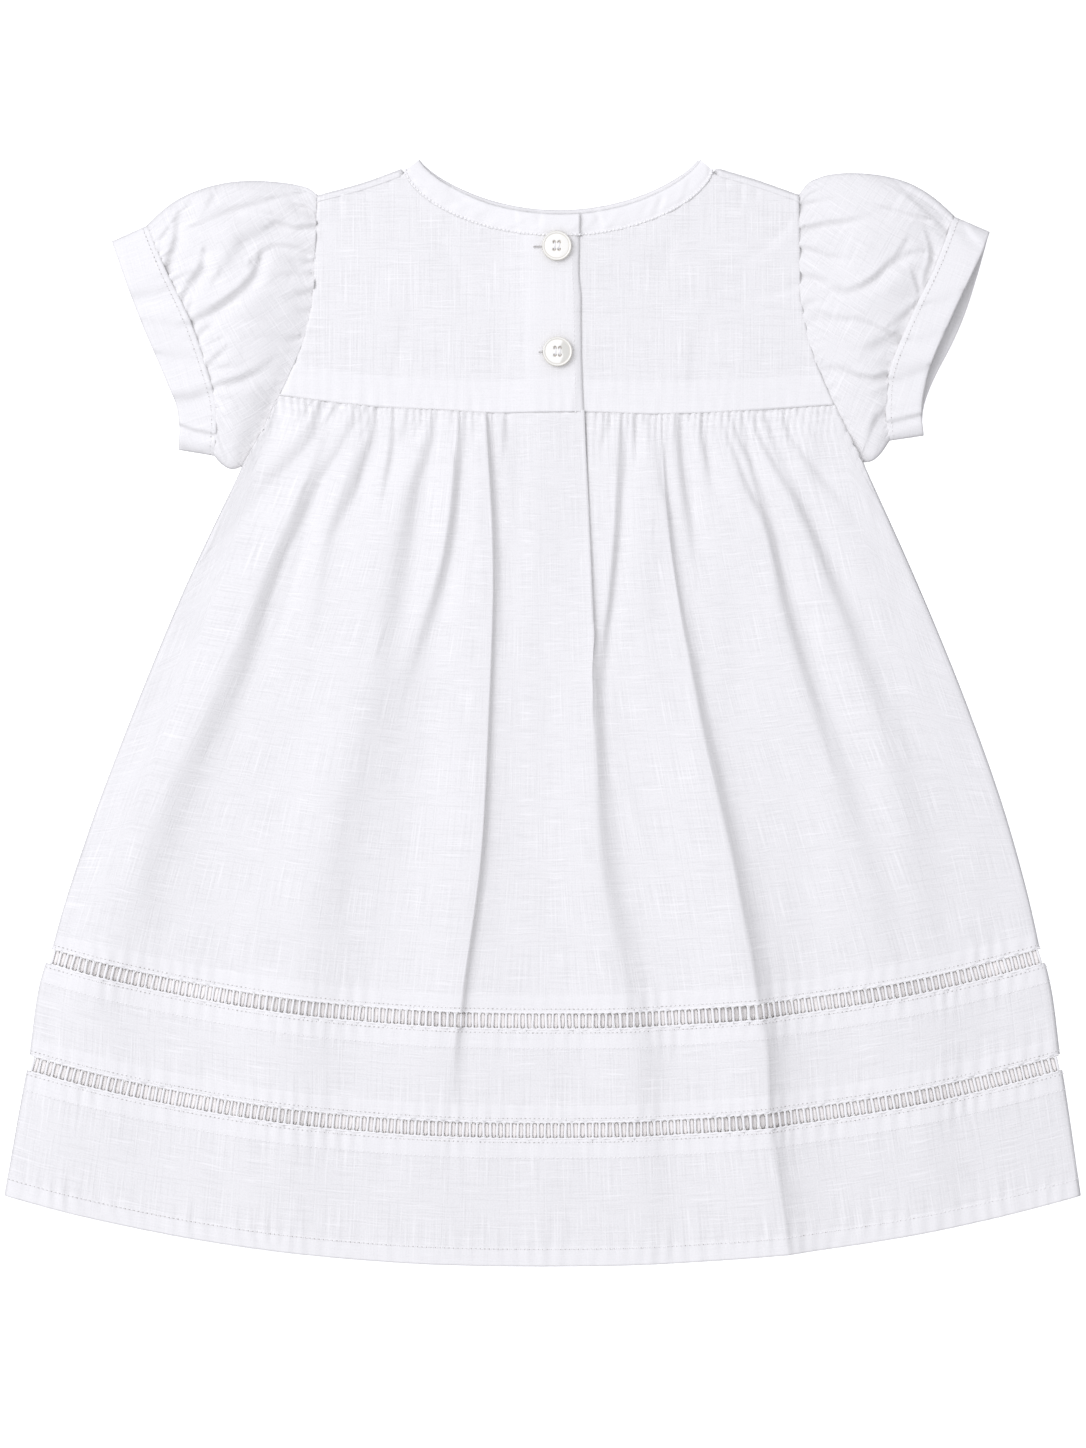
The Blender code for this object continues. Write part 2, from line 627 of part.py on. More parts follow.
def make_back_yoke():
    seam_in = SEAM_GAP / 2.0
    left_limit = NECK_SEAM["centre"] - NECK_SEAM["half"]
    right_limit = NECK_SEAM["centre"] + NECK_SEAM["half"]
    steps = SHOULDER_STEPS + NECK_STEPS

    fold = lowered(SHOULDER_FOLD_LEFT, SHOULDER_LIP + SEAM_GAP)
    shoulder = curve(fold[:-1] + [(left_limit, dip(NECK_SEAM, left_limit) - SHOULDER_END_DROP)])
    top = [tuple(shoulder(share)) for share in np.linspace(0.0, 1.0, SHOULDER_STEPS + 1)]
    neck = neck_run(NECK_SEAM, left_limit, PLACKET_EDGE + PLACKET_TOP_SHIFT)
    top += [(across, up - seam_in) for across, up in neck[1:]]
    seam = yoke_seam_run(CORNER_LEFT[0], PLACKET_EDGE, steps, seam_in)
    armhole = armhole_part(ARMHOLE_LEFT, top[0], seam[0])
    places = yoke_places(top, armhole, seam, "left")
    grid_wall("back_yoke_left", places, overlap_layer(BACK_TOP, CLOTH), "back cloth")

    fold = lowered(SHOULDER_FOLD_RIGHT, SHOULDER_LIP + SEAM_GAP)
    shoulder = curve([(right_limit, dip(NECK_SEAM, right_limit) - SHOULDER_END_DROP)] + fold[-2::-1])
    neck = neck_run(NECK_SEAM, UNDERLAP_END, right_limit)
    top = [(across, up - seam_in) for across, up in neck[:-1]]
    top += [tuple(shoulder(share)) for share in np.linspace(0.0, 1.0, SHOULDER_STEPS + 1)]
    seam = yoke_seam_run(UNDERLAP_END, CORNER_RIGHT[0], steps, seam_in)
    armhole = armhole_part(ARMHOLE_RIGHT, top[-1], seam[-1])
    places = yoke_places(top, armhole, seam, "right")
    grid_wall("back_yoke_right", places, flat_layer(BACK_TOP, CLOTH), "back cloth")


def make_front_yoke():
    """The front yoke, whose shoulders roll over the fold to the back's shoulder seams."""
    seam_in = SEAM_GAP / 2.0
    left_limit = FRONT_NECK_SEAM["centre"] - FRONT_NECK_SEAM["half"]
    right_limit = FRONT_NECK_SEAM["centre"] + FRONT_NECK_SEAM["half"]
    left_fold, right_fold = curve(SHOULDER_FOLD_LEFT), curve(SHOULDER_FOLD_RIGHT)
    shares = np.linspace(0.0, 1.0, SHOULDER_STEPS + 1)
    neck = neck_run(FRONT_NECK_SEAM, left_limit, right_limit)
    left_end, right_end = SHOULDER_FOLD_LEFT[-1], SHOULDER_FOLD_RIGHT[-1]
    top = [tuple(left_fold(share)) for share in shares]
    top.append((left_end[0] + LIP_STEP, left_end[1]))
    top += [(across, up - seam_in) for across, up in neck[1:-1]]
    top.append((right_end[0] - LIP_STEP, right_end[1]))
    top += [tuple(right_fold(share)) for share in shares[::-1]]
    seam = yoke_seam_run(CORNER_LEFT[0], CORNER_RIGHT[0], len(top) - 1, seam_in)
    left_armhole = armhole_part(ARMHOLE_LEFT, top[0], seam[0])
    right_armhole = armhole_part(ARMHOLE_RIGHT, top[-1], seam[-1])
    top_edge, seam_edge = np.array(top), np.array(seam)
    across = np.linspace(0.0, 1.0, len(top))
    numbers = np.arange(len(top))
    on_shoulder = (numbers <= SHOULDER_STEPS) | (numbers >= len(top) - SHOULDER_STEPS - 1)
    lip_share = SHOULDER_LIP / YOKE_LENGTH
    step_share = (SHOULDER_LIP + LIP_STEP) / YOKE_LENGTH
    places, lips = [], []
    for share in [0.0, lip_share, step_share, *np.linspace(BELOW_LIP, 1.0, YOKE_ROWS - 1)]:
        row = blend(top_edge, seam_edge, share)
        row += np.outer((1.0 - across) ** ARMHOLE_PULL_FRONT, left_armhole(share) - row[0])
        row += np.outer(across**ARMHOLE_PULL_FRONT, right_armhole(share) - row[-1])
        places.append([tuple(place) for place in row])
        lips.append(on_shoulder & (share <= lip_share))
    tops = [
        (x, y, BACK_TOP if lip else FRONT_TOP)
        for row, lip_row in zip(places, lips)
        for (x, y), lip in zip(row, lip_row)
    ]
    unders = [(x, y, 0.0) for row in places for x, y in row]
    width = len(top)
    faces = []
    for number in range(len(places) - 1):
        upper = list(range(number * width, (number + 1) * width))
        lower = list(range((number + 1) * width, (number + 2) * width))
        faces.extend(row_faces(upper, lower))
    cloth_wall("front_yoke", tops, unders, faces, "front cloth")


def make_neck_band(name, seam, edge, start, end, layer, look):
    """A strip between the neck seam and the neck edge; start and end are places across for both."""
    seam_in = SEAM_GAP / 2.0
    lower = [(across, up + seam_in) for across, up in neck_run(seam, start[0], end[0])]
    upper = neck_run(edge, start[1], end[1])
    middle = [tuple(blend(np.array(low), np.array(high), 0.5)) for low, high in zip(lower, upper)]
    grid_wall(name, [upper, middle, lower], layer, look)


def make_neck_bands():
    left_seam = NECK_SEAM["centre"] - NECK_SEAM["half"]
    right_seam = NECK_SEAM["centre"] + NECK_SEAM["half"]
    left_tip = NECK_EDGE["centre"] - NECK_EDGE["half"]
    right_tip = NECK_EDGE["centre"] + NECK_EDGE["half"]
    left_end = PLACKET_EDGE + PLACKET_TOP_SHIFT
    make_neck_band(
        "back_neck_band_left", NECK_SEAM, NECK_EDGE, (left_seam, left_tip), (left_end, left_end),
        overlap_layer(BACK_TOP, CLOTH), "band cloth",
    )
    make_neck_band(
        "back_neck_band_right", NECK_SEAM, NECK_EDGE, (UNDERLAP_END, UNDERLAP_END), (right_seam, right_tip),
        flat_layer(BACK_TOP, CLOTH), "band cloth",
    )
    front_left = FRONT_NECK_SEAM["centre"] - FRONT_NECK_SEAM["half"]
    front_right = FRONT_NECK_SEAM["centre"] + FRONT_NECK_SEAM["half"]
    front_left_tip = FRONT_NECK_EDGE["centre"] - FRONT_NECK_EDGE["half"]
    front_right_tip = FRONT_NECK_EDGE["centre"] + FRONT_NECK_EDGE["half"]
    make_neck_band(
        "front_neck_band", FRONT_NECK_SEAM, FRONT_NECK_EDGE,
        (front_left, front_left_tip), (front_right, front_right_tip),
        flat_layer(FRONT_TOP, CLOTH), "band cloth",
    )


# Sleeves and cuffs


def crease_height(creases, across, up):
    """Rise of the ridges over the puff of a sleeve."""
    total = 0.0
    for start, middle, end, rise, reach in creases:
        line = curve([start, middle, end])
        points = [line(share) for share in np.linspace(0.0, 1.0, CREASE_POINTS)]
        nearest = min(math.hypot(across - x, up - y) for x, y in points)
        total = max(total, rise * math.exp(-((nearest / reach) ** 2)))
    return total


def ring_steps():
    """Steps round a ring: share from the top edge to the underarm, and share of the height."""
    steps = []
    for step in range(RING_UPPER_STEPS + 1):
        angle = math.pi * step / RING_UPPER_STEPS
        share = (1.0 - math.cos(angle)) / 2.0
        fall = 1.0 - UNDERARM_FALL * share
        height = max(math.sin(angle), 0.0) ** RING_FULLNESS * fall
        steps.append((share, height, "upper"))
    for step in range(1, RING_LOWER_STEPS):
        steps.append((1.0 - step / RING_LOWER_STEPS, 0.0, "lower"))
    return steps


def tube_wall(name, rings, wall, look):
    """A tube of cloth, open at both ends: each ring has a place function, a height and a relief function."""
    outer, inner = [], []
    steps = ring_steps()
    for place, height, relief in rings:
        for share, lift, side in steps:
            length = float(np.linalg.norm(place(1.0, side) - place(0.0, side)))
            x, y = place(share, side)
            bump = relief(x, y) * lift if side == "upper" else 0.0
            outer.append((x, y, height * lift + bump))
            x, y = place((wall + share * (length - 2.0 * wall)) / length, side)
            inner.append((x, y, wall + (height - 2.0 * wall) * lift))
    around = len(steps)
    count = len(outer)
    faces = []
    for ring in range(len(rings) - 1):
        for step in range(around):
            after = (step + 1) % around
            a, b = ring * around + step, ring * around + after
            c, d = a + around, b + around
            faces.append((a, b, d, c))
            faces.append((count + c, count + d, count + b, count + a))
    last = (len(rings) - 1) * around
    for step in range(around):
        after = (step + 1) % around
        faces.append((after, step, count + step, count + after))
        faces.append((last + step, last + after, count + last + after, count + last + step))
    return add_piece(name, outer + inner, faces, look)


def make_sleeve(name, armhole_points, seam_points, away, creases):
    """A puffed sleeve from the armhole to the cuff; away is -1 on the left and 1 on the right."""
    armhole, seam = curve(armhole_points), curve(seam_points)
    bulge_column = 1 if away < 0 else 2

    def ring_place(share_out, bulge):
        def place(share_down, side):
            inner = armhole(share_down) + np.array([away * SLEEVE_CLEARANCE, 0.0])
            outer = seam(share_down) - np.array([away * SEAM_GAP / 2.0, 0.0])
            crown_lift = bulge * (1.0 - share_down) ** CROWN_FADE
            underarm_drop = UNDERARM_DROP * math.sin(math.pi * share_out) * share_down**UNDERARM_FADE
            return blend(inner, outer, share_out) + np.array([0.0, crown_lift - underarm_drop])

        return place

    rings = [
        (ring_place(row[0], row[bulge_column]), row[3], lambda x, y: crease_height(creases, x, y))
        for row in SLEEVE_RINGS
    ]
    if away < 0:
        rings.reverse()
    tube_wall(name, rings, CLOTH, "back cloth")


def make_cuff(name, seam_points, edge_points, under_points, away, column):
    """A band from the sleeve's seam to its open edge; the under edge may stand out beyond the upper."""
    seam, edge, under_edge = curve(seam_points), curve(edge_points), curve(under_points)

    def ring_place(share_out):
        def place(share_down, side):
            inner = seam(share_down) + np.array([away * SEAM_GAP / 2.0, 0.0])
            show = math.sin(math.pi * share_down)
            outer = edge(share_down)
            if side == "lower":
                outer = blend(outer, under_edge(share_down), show)
            return blend(inner, outer, share_out)

        return place

    rings = [(ring_place(row[0]), row[column], lambda x, y: 0.0) for row in CUFF_RINGS]
    if away < 0:
        rings.reverse()
    tube_wall(name, rings, CUFF_CLOTH, "band cloth")


def make_sleeves():
    make_sleeve("sleeve_left", ARMHOLE_LEFT, LEFT_CUFF_SEAM, -1, LEFT_SLEEVE_CREASES)
    make_sleeve("sleeve_right", ARMHOLE_RIGHT, RIGHT_CUFF_SEAM, 1, RIGHT_SLEEVE_CREASES)
    make_cuff("cuff_left", LEFT_CUFF_SEAM, LEFT_CUFF_EDGE, LEFT_CUFF_EDGE, -1, 1)
    make_cuff("cuff_right", RIGHT_CUFF_SEAM, RIGHT_CUFF_EDGE, RIGHT_CUFF_UNDER_EDGE, 1, 2)


# Buttons


def disc_points(profile, segments):
    points = []
    for radius, height in profile:
        for step in range(segments):
            angle = 2.0 * math.pi * step / segments
            points.append((radius * math.cos(angle), radius * math.sin(angle), height))
    return points


def turned(name, profile, segments, look):
    """A turned solid: profile from the centre of the underside, round the rim, to the centre of the top."""
    points = disc_points(profile, segments)
    faces = []
    for ring in range(len(profile) - 1):
        for step in range(segments):
            after = (step + 1) % segments
            a, b = ring * segments + step, ring * segments + after
            faces.append((a, b, b + segments, a + segments))
    faces.append(tuple(reversed(range(segments))))
    faces.append(tuple(range((len(profile) - 1) * segments, len(profile) * segments)))
    return add_piece(name, points, faces, look)


def make_button(name, across, up):
    radius = BUTTON_ACROSS / 2.0
    profile = [
        (radius - 0.7, 0.0),
        (radius, 0.8),
        (radius - 0.1, BUTTON_THICK - 0.4),
        (radius - 0.5, BUTTON_THICK),
        (radius - BUTTON_RIM, BUTTON_THICK),
        (radius - BUTTON_RIM - 0.6, BUTTON_THICK - BUTTON_DISH),
    ]
    button = turned(name, profile, BUTTON_SEGMENTS, "pearl button")
    cutter_profile = [(BUTTON_HOLE / 2.0, -1.0), (BUTTON_HOLE / 2.0, BUTTON_THICK + 1.0)]
    spread_across, spread_up = BUTTON_HOLE_SPREAD
    for number, (side, end) in enumerate([(-1, -1), (-1, 1), (1, -1), (1, 1)]):
        cutter = turned(f"{name}_hole_{number}", cutter_profile, HOLE_SEGMENTS, "pearl button")
        cutter.location = (side * spread_across * MM, end * spread_up * MM, 0.0)
        cutter.hide_render = True
        cutter.display_type = "WIRE"
        cutter.parent = button
        hole = button.modifiers.new("sewing hole", "BOOLEAN")
        hole.operation = "DIFFERENCE"
        hole.solver = "EXACT"
        hole.object = cutter
    rest = BACK_TOP + LAYER_STEP + SEAM_GAP
    button.location = (across * MM, up * MM, rest * MM)


def main():
    for thing in list(bpy.data.objects):
        bpy.data.objects.remove(thing, do_unlink=True)
    make_front_skirt()
    make_front_yoke()
    make_neck_bands()
    make_back_yoke()
    make_back_skirt()
    make_placket_strip()
    make_back_insertion("back_insertion_upper", UPPER_INSERTION)
    make_back_insertion("back_insertion_lower", LOWER_INSERTION)
    make_back_bands()
    make_sleeves()
    for name, across, up in BUTTONS:
        make_button(name, across, up)


main()
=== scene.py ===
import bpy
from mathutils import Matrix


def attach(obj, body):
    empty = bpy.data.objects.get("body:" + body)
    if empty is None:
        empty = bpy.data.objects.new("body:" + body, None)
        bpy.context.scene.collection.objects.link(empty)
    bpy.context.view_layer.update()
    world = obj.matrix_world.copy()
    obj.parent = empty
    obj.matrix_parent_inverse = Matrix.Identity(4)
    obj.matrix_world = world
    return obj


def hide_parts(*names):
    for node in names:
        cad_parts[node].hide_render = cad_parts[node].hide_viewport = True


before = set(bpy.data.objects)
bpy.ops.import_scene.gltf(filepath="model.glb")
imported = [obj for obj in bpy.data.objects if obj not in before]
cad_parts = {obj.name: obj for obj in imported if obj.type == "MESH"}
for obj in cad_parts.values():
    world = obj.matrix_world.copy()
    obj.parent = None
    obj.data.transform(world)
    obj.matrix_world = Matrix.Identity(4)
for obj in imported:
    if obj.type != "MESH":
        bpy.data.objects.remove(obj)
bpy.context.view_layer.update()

# A toddler's white slub-cotton dress laid flat with its buttoned back up. Tables and sizes are in
# millimetres, +X to the right, +Y to the neck and +Z up from the surface; MM carries them into metres.

import math

import bpy
import numpy as np
from mathutils import Matrix

MM = 0.001

# Cloth: walls, heights of the layers' tops, rolled edges, and doubled strips with their soft edge
SHELL = 0.45
FRONT_TOP = 0.7
FRONT_SHELL = 0.6
BACK_TOP = 2.3
BACK_LEAST = 1.3
LAYER_STEP = 1.3
EDGE_ROLL = 3.0
EDGE_LOW = 1.5
STRIP_STEP = 0.17
STRIP_EDGE = 1.5
STRIP_LIGHTER = 0.65

# Neck edges: centre, half width, lowest point, depth and fullness
NECK_SEAM = (6.5, 61.7, 189.7, 26.7, 0.62)
NECK_EDGE = (7.0, 56.0, 199.0, 21.8, 0.75)
FRONT_NECK_SEAM = (6.5, 61.7, 191.6, 24.8, 0.66)
FRONT_NECK_EDGE = (6.5, 55.5, 200.8, 20.0, 0.80)

SHOULDER_FOLD_LEFT = [(-90.0, 206.6), (-71.0, 211.9), (-56.4, 217.2)]
SHOULDER_FOLD_RIGHT = [(102.6, 206.8), (85.0, 213.0), (69.6, 217.6)]
SHOULDER_LIP = 2.2

ARMHOLE_LEFT = [
    (-90.2, 206.6), (-91.2, 184.8), (-92.2, 164.8), (-97.0, 144.8), (-105.0, 126.6), (-112.4, 111.4),
    (-119.8, 98.4),
]
ARMHOLE_RIGHT = [
    (103.0, 206.8), (103.0, 184.8), (103.6, 164.8), (109.0, 140.8), (116.6, 122.8), (122.8, 110.4),
    (128.0, 100.0),
]
CORNER_LEFT = (-105.0, 126.6)
CORNER_RIGHT = (116.6, 122.8)

PLACKET_EDGE = 16.2
PLACKET_TOP_SHIFT = -1.3
UNDERLAP_END = -3.4
PLACKET_RISE = (-19.0, -1.0)
PLACKET_GRID = (60, 15)
PLACKET_WIDE = (22.4, 23.2)
PLACKET_DOUBLED = 0.55
# Seams: the gap between two pieces, half of it, and how far a band lies over a yoke
SEAM_GAP = 0.3
SEAM_HALF = 0.15
SEAM_LAP = 0.5
FLAP_FALL = 0.95
FLAP_ROLL = 1.5
FLAP_WAVE = 0.55
# The slit below the placket: level of its end, fade of the overlap, and how its edge lies over its foot
SLIT_END = 0.36
SLIT_FADE = 0.25
SLIT_CLOSES = (0.01, 0.08)
SLIT_OVER = 0.2
SLIT_EDGE_REACH = 3.0
YOKE_SEAM = [
    (-105.0, 126.6), (-89.0, 124.4), (-66.6, 122.0), (-41.4, 120.8), (-19.0, 119.6), (-4.6, 119.8),
    (16.2, 120.0), (44.2, 119.2), (67.8, 119.7), (91.0, 121.0), (116.6, 122.8),
]
YOKE_STRIP = 12.4

# Skirt levels run from 0 at the yoke seam to 1 at the upper ladder and 2 at the hem
SKIRT_LENGTH = 240.0
LEVEL_LENGTH = 101.8
SKIRT_LEVELS = (0.0, 0.25, 0.5, 0.75, 1.0, 1.5, 2.0)
HEM_MIDDLE = (-119.8, -221.6)
HEM_DROP = (26.2, 28.4)
HEM_CENTRE = (1.2, 0.0)
HEM_HALF = (198.2, 215.4)
HEM_ARC_POWER = 2.2

# Lines down the skirt: columns of cloth, height at the seam, place across at each level
SKIRT_GUIDES = [
    ("side_left", 0, 98.4, (-119.8, -142.6, -162.6, -180.8, -195.8, -206.2, -215.2)),
    ("armhole_left", 9, 111.4, (-112.4, -131.0, -150.2, -169.8, -187.0, -195.2, -202.8)),
    ("corner_left", 14, 126.6, (-105.0, -122.6, -142.6, -163.0, -177.8, -185.2, -192.2)),
    ("fold_a", 38, 123.7, (-83.0, -106.2, -129.4, -153.8, -169.8, -175.8, -181.8)),
    ("between", 42, 121.7, (-60.6, -71.0, -88.2, -101.0, -112.2, -115.6, -119.0)),
    ("fold_d", 50, 120.3, (-33.0, -39.4, -51.4, -61.8, -68.2, -70.8, -73.0)),
    ("fold_e", 20, 119.7, (-23.4, -21.2, -23.0, -26.6, -34.2, -38.0, -40.4)),
    ("foot_e", 9, 119.6, (-19.6, -17.6, -19.2, -22.6, -30.4, -33.2, -35.0)),
    ("opening_edge", 42, 120.0, (15.9, 18.0, 19.8, 24.0, 33.0, 36.4, 39.4)),
    ("opening_foot", 6, 119.8, (16.6, 19.0, 21.8, 30.0, 40.4, 44.0, 46.8)),
    ("fold_h", 50, 119.3, (45.0, 50.4, 62.0, 74.0, 83.2, 88.6, 96.0)),
    ("foot_h", 8, 119.4, (48.2, 54.0, 67.0, 80.6, 90.4, 95.8, 103.0)),
    ("fold_i", 54, 120.2, (77.0, 93.0, 107.0, 130.0, 149.0, 155.6, 163.0)),
    ("corner_right", 64, 122.8, (116.6, 129.4, 145.0, 163.0, 175.0, 182.0, 188.6)),
    ("armhole_right", 12, 110.4, (122.8, 139.8, 157.4, 175.0, 187.4, 195.4, 202.4)),
    ("side_right", 9, 100.0, (128.0, 149.8, 169.6, 186.4, 198.6, 207.8, 215.2)),
]

# Large folds: crest across and rise at each level, reach to the left, reach to the right, lean to the right
SKIRT_FOLDS = [
    ("a", (-84, -105.5, -130, -157, -174, -181, -188), (1.0, 2.4, 3.6, 4.0, 2.8, 1.4, 0.8), 17,
     (3.0, 4.2, 8.0, 12.0, 14.0, 14.0, 14.0), 0.0),
    ("b", (-70.5, -88, -96, -100, -104, -106, -108), (1.4, 1.0, 0.0, 0.0, 0.0, 0.0, 0.0), 7, 3, 0.0),
    ("c", (-46, -61, -73, -88, -97, -102, -106), (1.0, 3.0, 3.8, 3.8, 2.4, 1.4, 0.8), 20,
     (2.5, 8.0, 10.0, 13.0, 14.0, 14.0, 14.0), 0.0),
    ("d", (-34, -40.6, -60, -68, -74, -76, -78), (1.2, 2.4, 1.0, 0.3, 0.0, 0.0, 0.0), 9,
     (1.8, 2.6, 8.0, 9.0, 9.0, 9.0, 9.0), 0.0),
    ("e", (-23.4, -20.8, -22.6, -26.2, -34.0, -39.2, -42.4), (1.6, 2.8, 3.3, 4.0, 3.1, 0.8, 0.4), 18,
     (1.1, 1.1, 1.1, 1.3, 2.4, 7.0, 8.0), 1.4),
    ("opening", (15.9, 17.9, 20.1, 21.6, 32.4, 37, 40), (0.4, 1.0, 3.2, 4.3, 3.6, 1.6, 0.7), 16,
     (1.3, 1.6, 2.4, 5.8, 8.4, 9.0, 9.0), 0.6),
    ("g", (30.0, 27.4, 22.6, 30, 42, 44, 46), (0.8, 1.8, 0.8, 0.1, 0.1, 0.1, 0.0), 7, 1.6, 0.3),
    ("h", (46.2, 51.0, 61.0, 73.8, 84.4, 90.2, 98.0), (0.4, 2.6, 4.4, 6.6, 6.6, 5.0, 3.8), 20,
     (1.2, 1.3, 3.2, 5.8, 6.8, 7.0, 7.2), 1.0),
    ("i", (76, 90.8, 105, 122.5, 138, 146, 154), (1.2, 2.6, 3.2, 3.2, 2.2, 1.3, 0.8), 16,
     (2.5, 2.8, 5.5, 9.0, 10.0, 11.0, 12.0), 0.0),
    ("j", (84, 108.8, 128.5, 143, 153, 160, 166), (1.0, 2.0, 2.6, 2.4, 1.4, 0.8, 0.5), 11,
     (3.0, 3.4, 7.0, 10.0, 11.0, 12.0, 12.0), 0.0),
]
# Folds whose right side starts sharply at the crest and how much, the share and reach of its lip, and the
# levels over which it grows sharp
CRISP_FOLDS = {"h": 0.85}
CRISP_LIP = (0.13, 0.14)
CRISP_LEVELS = (0.3, 0.6)
# A fold's lean reaches this far to the left of its crest, and is full for a fold of this height
LEAN_REACH = 5.0
LEAN_FULL = 4.0
SIDE_SETTLE = 14.0

# Gathers: the dark foot of each pleat down from the seam, reach of its steep side at both ends, depths
GATHERS = [
    ([(-75, 120), (-77.5, 113.5), (-83, 104), (-89.5, 94.5), (-95, 82), (-99.4, 72), (-103.8, 62),
      (-109.4, 48),
      (-114.2, 34), (-119, 19), (-124.6, 5), (-131, -8)], (2.0, 3.6), (1.0, 1.9, 0.2)),
    ([(-97, 86), (-102.5, 76), (-106.5, 66), (-111, 56), (-116, 42), (-121.5, 28)],
     (2.4, 3.2), (0.4, 0.8, 0.2)),
    ([(-67, 120), (-68.6, 110), (-71.8, 101), (-75, 91), (-79.4, 82), (-85, 72), (-88, 65)], (1.4, 3.2),
     (1.2, 2.4, 0.1)),
    ([(-60.2, 119.5), (-60.4, 108), (-61.4, 101), (-63.4, 91), (-65.4, 82), (-66.5, 75)],
     (1.2, 1.8), (0.9, 1.5, 0.1)),
    ([(-43.2, 120), (-44.6, 110), (-47.4, 101), (-51.4, 91), (-53, 82), (-54.2, 72), (-56.5, 60), (-59, 48),
      (-62.2, 36)], (1.5, 5.5), (1.1, 1.8, 0.3)),
    ([(-31.8, 120), (-32.2, 110), (-33, 101), (-34.2, 91), (-35.8, 77), (-38.2, 62), (-42.2, 48), (-46.6, 34),
      (-51.8, 19), (-54.5, 10)], (1.4, 2.8), (0.9, 2.0, 0.2)),
    ([(-37.8, 119.5), (-37.8, 109), (-36.2, 101), (-34.8, 95)], (1.4, 1.4), (0.9, 0.7, 0.2)),
    ([(-23, 119.5), (-21.6, 106), (-20, 88), (-18.5, 70), (-17.5, 50), (-17.5, 30)],
     (1.0, 1.6), (1.0, 1.2, 0.4)),
    ([(-15.4, 119), (-15.8, 106), (-17.4, 96)], (1.2, 1.4), (0.9, 0.9, 0.1)),
    ([(-28.2, 119), (-28.6, 110), (-29, 106)], (1.2, 1.3), (0.7, 0.5, 0.1)),
    ([(-49, 119.5), (-51.8, 110), (-53, 105)], (1.2, 1.4), (0.6, 0.5, 0.1)),
    ([(-54.2, 120), (-56.6, 110), (-58.5, 103)], (1.3, 2.0), (0.8, 0.9, 0.1)),
    ([(-89.5, 122), (-93, 111), (-101, 102), (-110, 94), (-118, 85), (-126, 75), (-131, 68)], (2.0, 5.5),
     (1.1, 1.6, 0.3)),
    ([(-107, 124), (-109.8, 110), (-113, 103)], (1.8, 2.0), (0.9, 0.8, 0.1)),
    ([(-9.6, 118), (-10, 106), (-9, 96)], (2.4, 3.0), (0.3, 0.3, 0.0)),
    ([(26.2, 119), (24.2, 110), (22.6, 105)], (1.2, 1.4), (0.9, 0.7, 0.1)),
    ([(31.4, 119), (31.8, 110), (32.2, 101), (31, 86), (30.2, 72), (28.2, 58), (26.6, 43), (24.8, 34),
      (23.4, 24),
      (22.2, 14)], (1.2, 1.5), (0.3, 1.0, 0.7)),
    ([(36.2, 119), (36.6, 106), (36.2, 98)], (1.2, 1.4), (1.1, 0.9, 0.1)),
    ([(40.6, 119), (41.8, 110), (42.5, 104)], (1.3, 1.8), (0.8, 0.5, 0.1)),
    ([(44.4, 119), (44.6, 110), (45.4, 101), (46.6, 91), (49.4, 82), (51.4, 72), (53.4, 62), (56.2, 48),
      (59.4, 34), (62.2, 19)], (1.5, 2.0), (0.3, 0.7, 0.3)),
    ([(53.8, 119), (54.2, 110), (55, 101), (56.2, 91), (57.5, 80), (59, 67), (60.5, 55)],
     (1.4, 2.4), (1.0, 1.9, 0.2)),
    ([(63, 119), (63.4, 110), (65, 101), (66.2, 91), (67.5, 82)], (1.3, 2.0), (1.0, 1.2, 0.1)),
    ([(70.5, 119.5), (73.4, 110), (77, 101), (80.6, 91), (84, 84), (88, 79), (91, 72), (93, 62), (94.6, 53),
      (96.2, 43), (99, 34), (101.8, 24), (105, 14), (109, 0), (113.4, -14)], (1.3, 3.2), (0.6, 2.0, 0.3)),
    ([(74.5, 119.5), (77.4, 110), (81.8, 101), (85, 91), (87, 84)], (1.3, 1.8), (0.9, 1.3, 0.3)),
    ([(79, 119.5), (81, 110), (82.5, 104)], (1.2, 1.3), (0.8, 0.5, 0.1)),
    ([(83, 120), (85.8, 110), (90.6, 101), (96.6, 91), (102.2, 82), (106.6, 72), (111, 62), (115.8, 48),
      (121.8, 34), (127, 19), (132.2, 5)], (1.4, 3.4), (1.0, 1.4, 0.2)),
    ([(88, 119.5), (91.4, 110), (94.5, 104)], (1.4, 1.8), (0.8, 0.7, 0.1)),
    ([(95.5, 120.5), (98.2, 110), (104.2, 101), (112.2, 91), (119.8, 82), (127, 72), (131, 66)], (1.5, 3.0),
     (0.9, 1.0, 0.1)),
    ([(101, 121), (103.4, 110)], (1.6, 2.0), (0.6, 0.4, 0.1)),
    ([(43.4, 66), (42, 48), (40.8, 34), (43, 20), (43.4, 6)], (4.5, 5.0), (0.2, 0.6, 0.1)),
    ([(133, 86), (138.5, 76), (146, 60), (151, 48), (154, 38)], (2.6, 2.6), (0.3, 0.6, 0.1)),
]
PLEAT_SHIFT = 1.0
PLEAT_EAST = 2.6
PLEAT_CREST = (1.3, 1.3, 0.25)
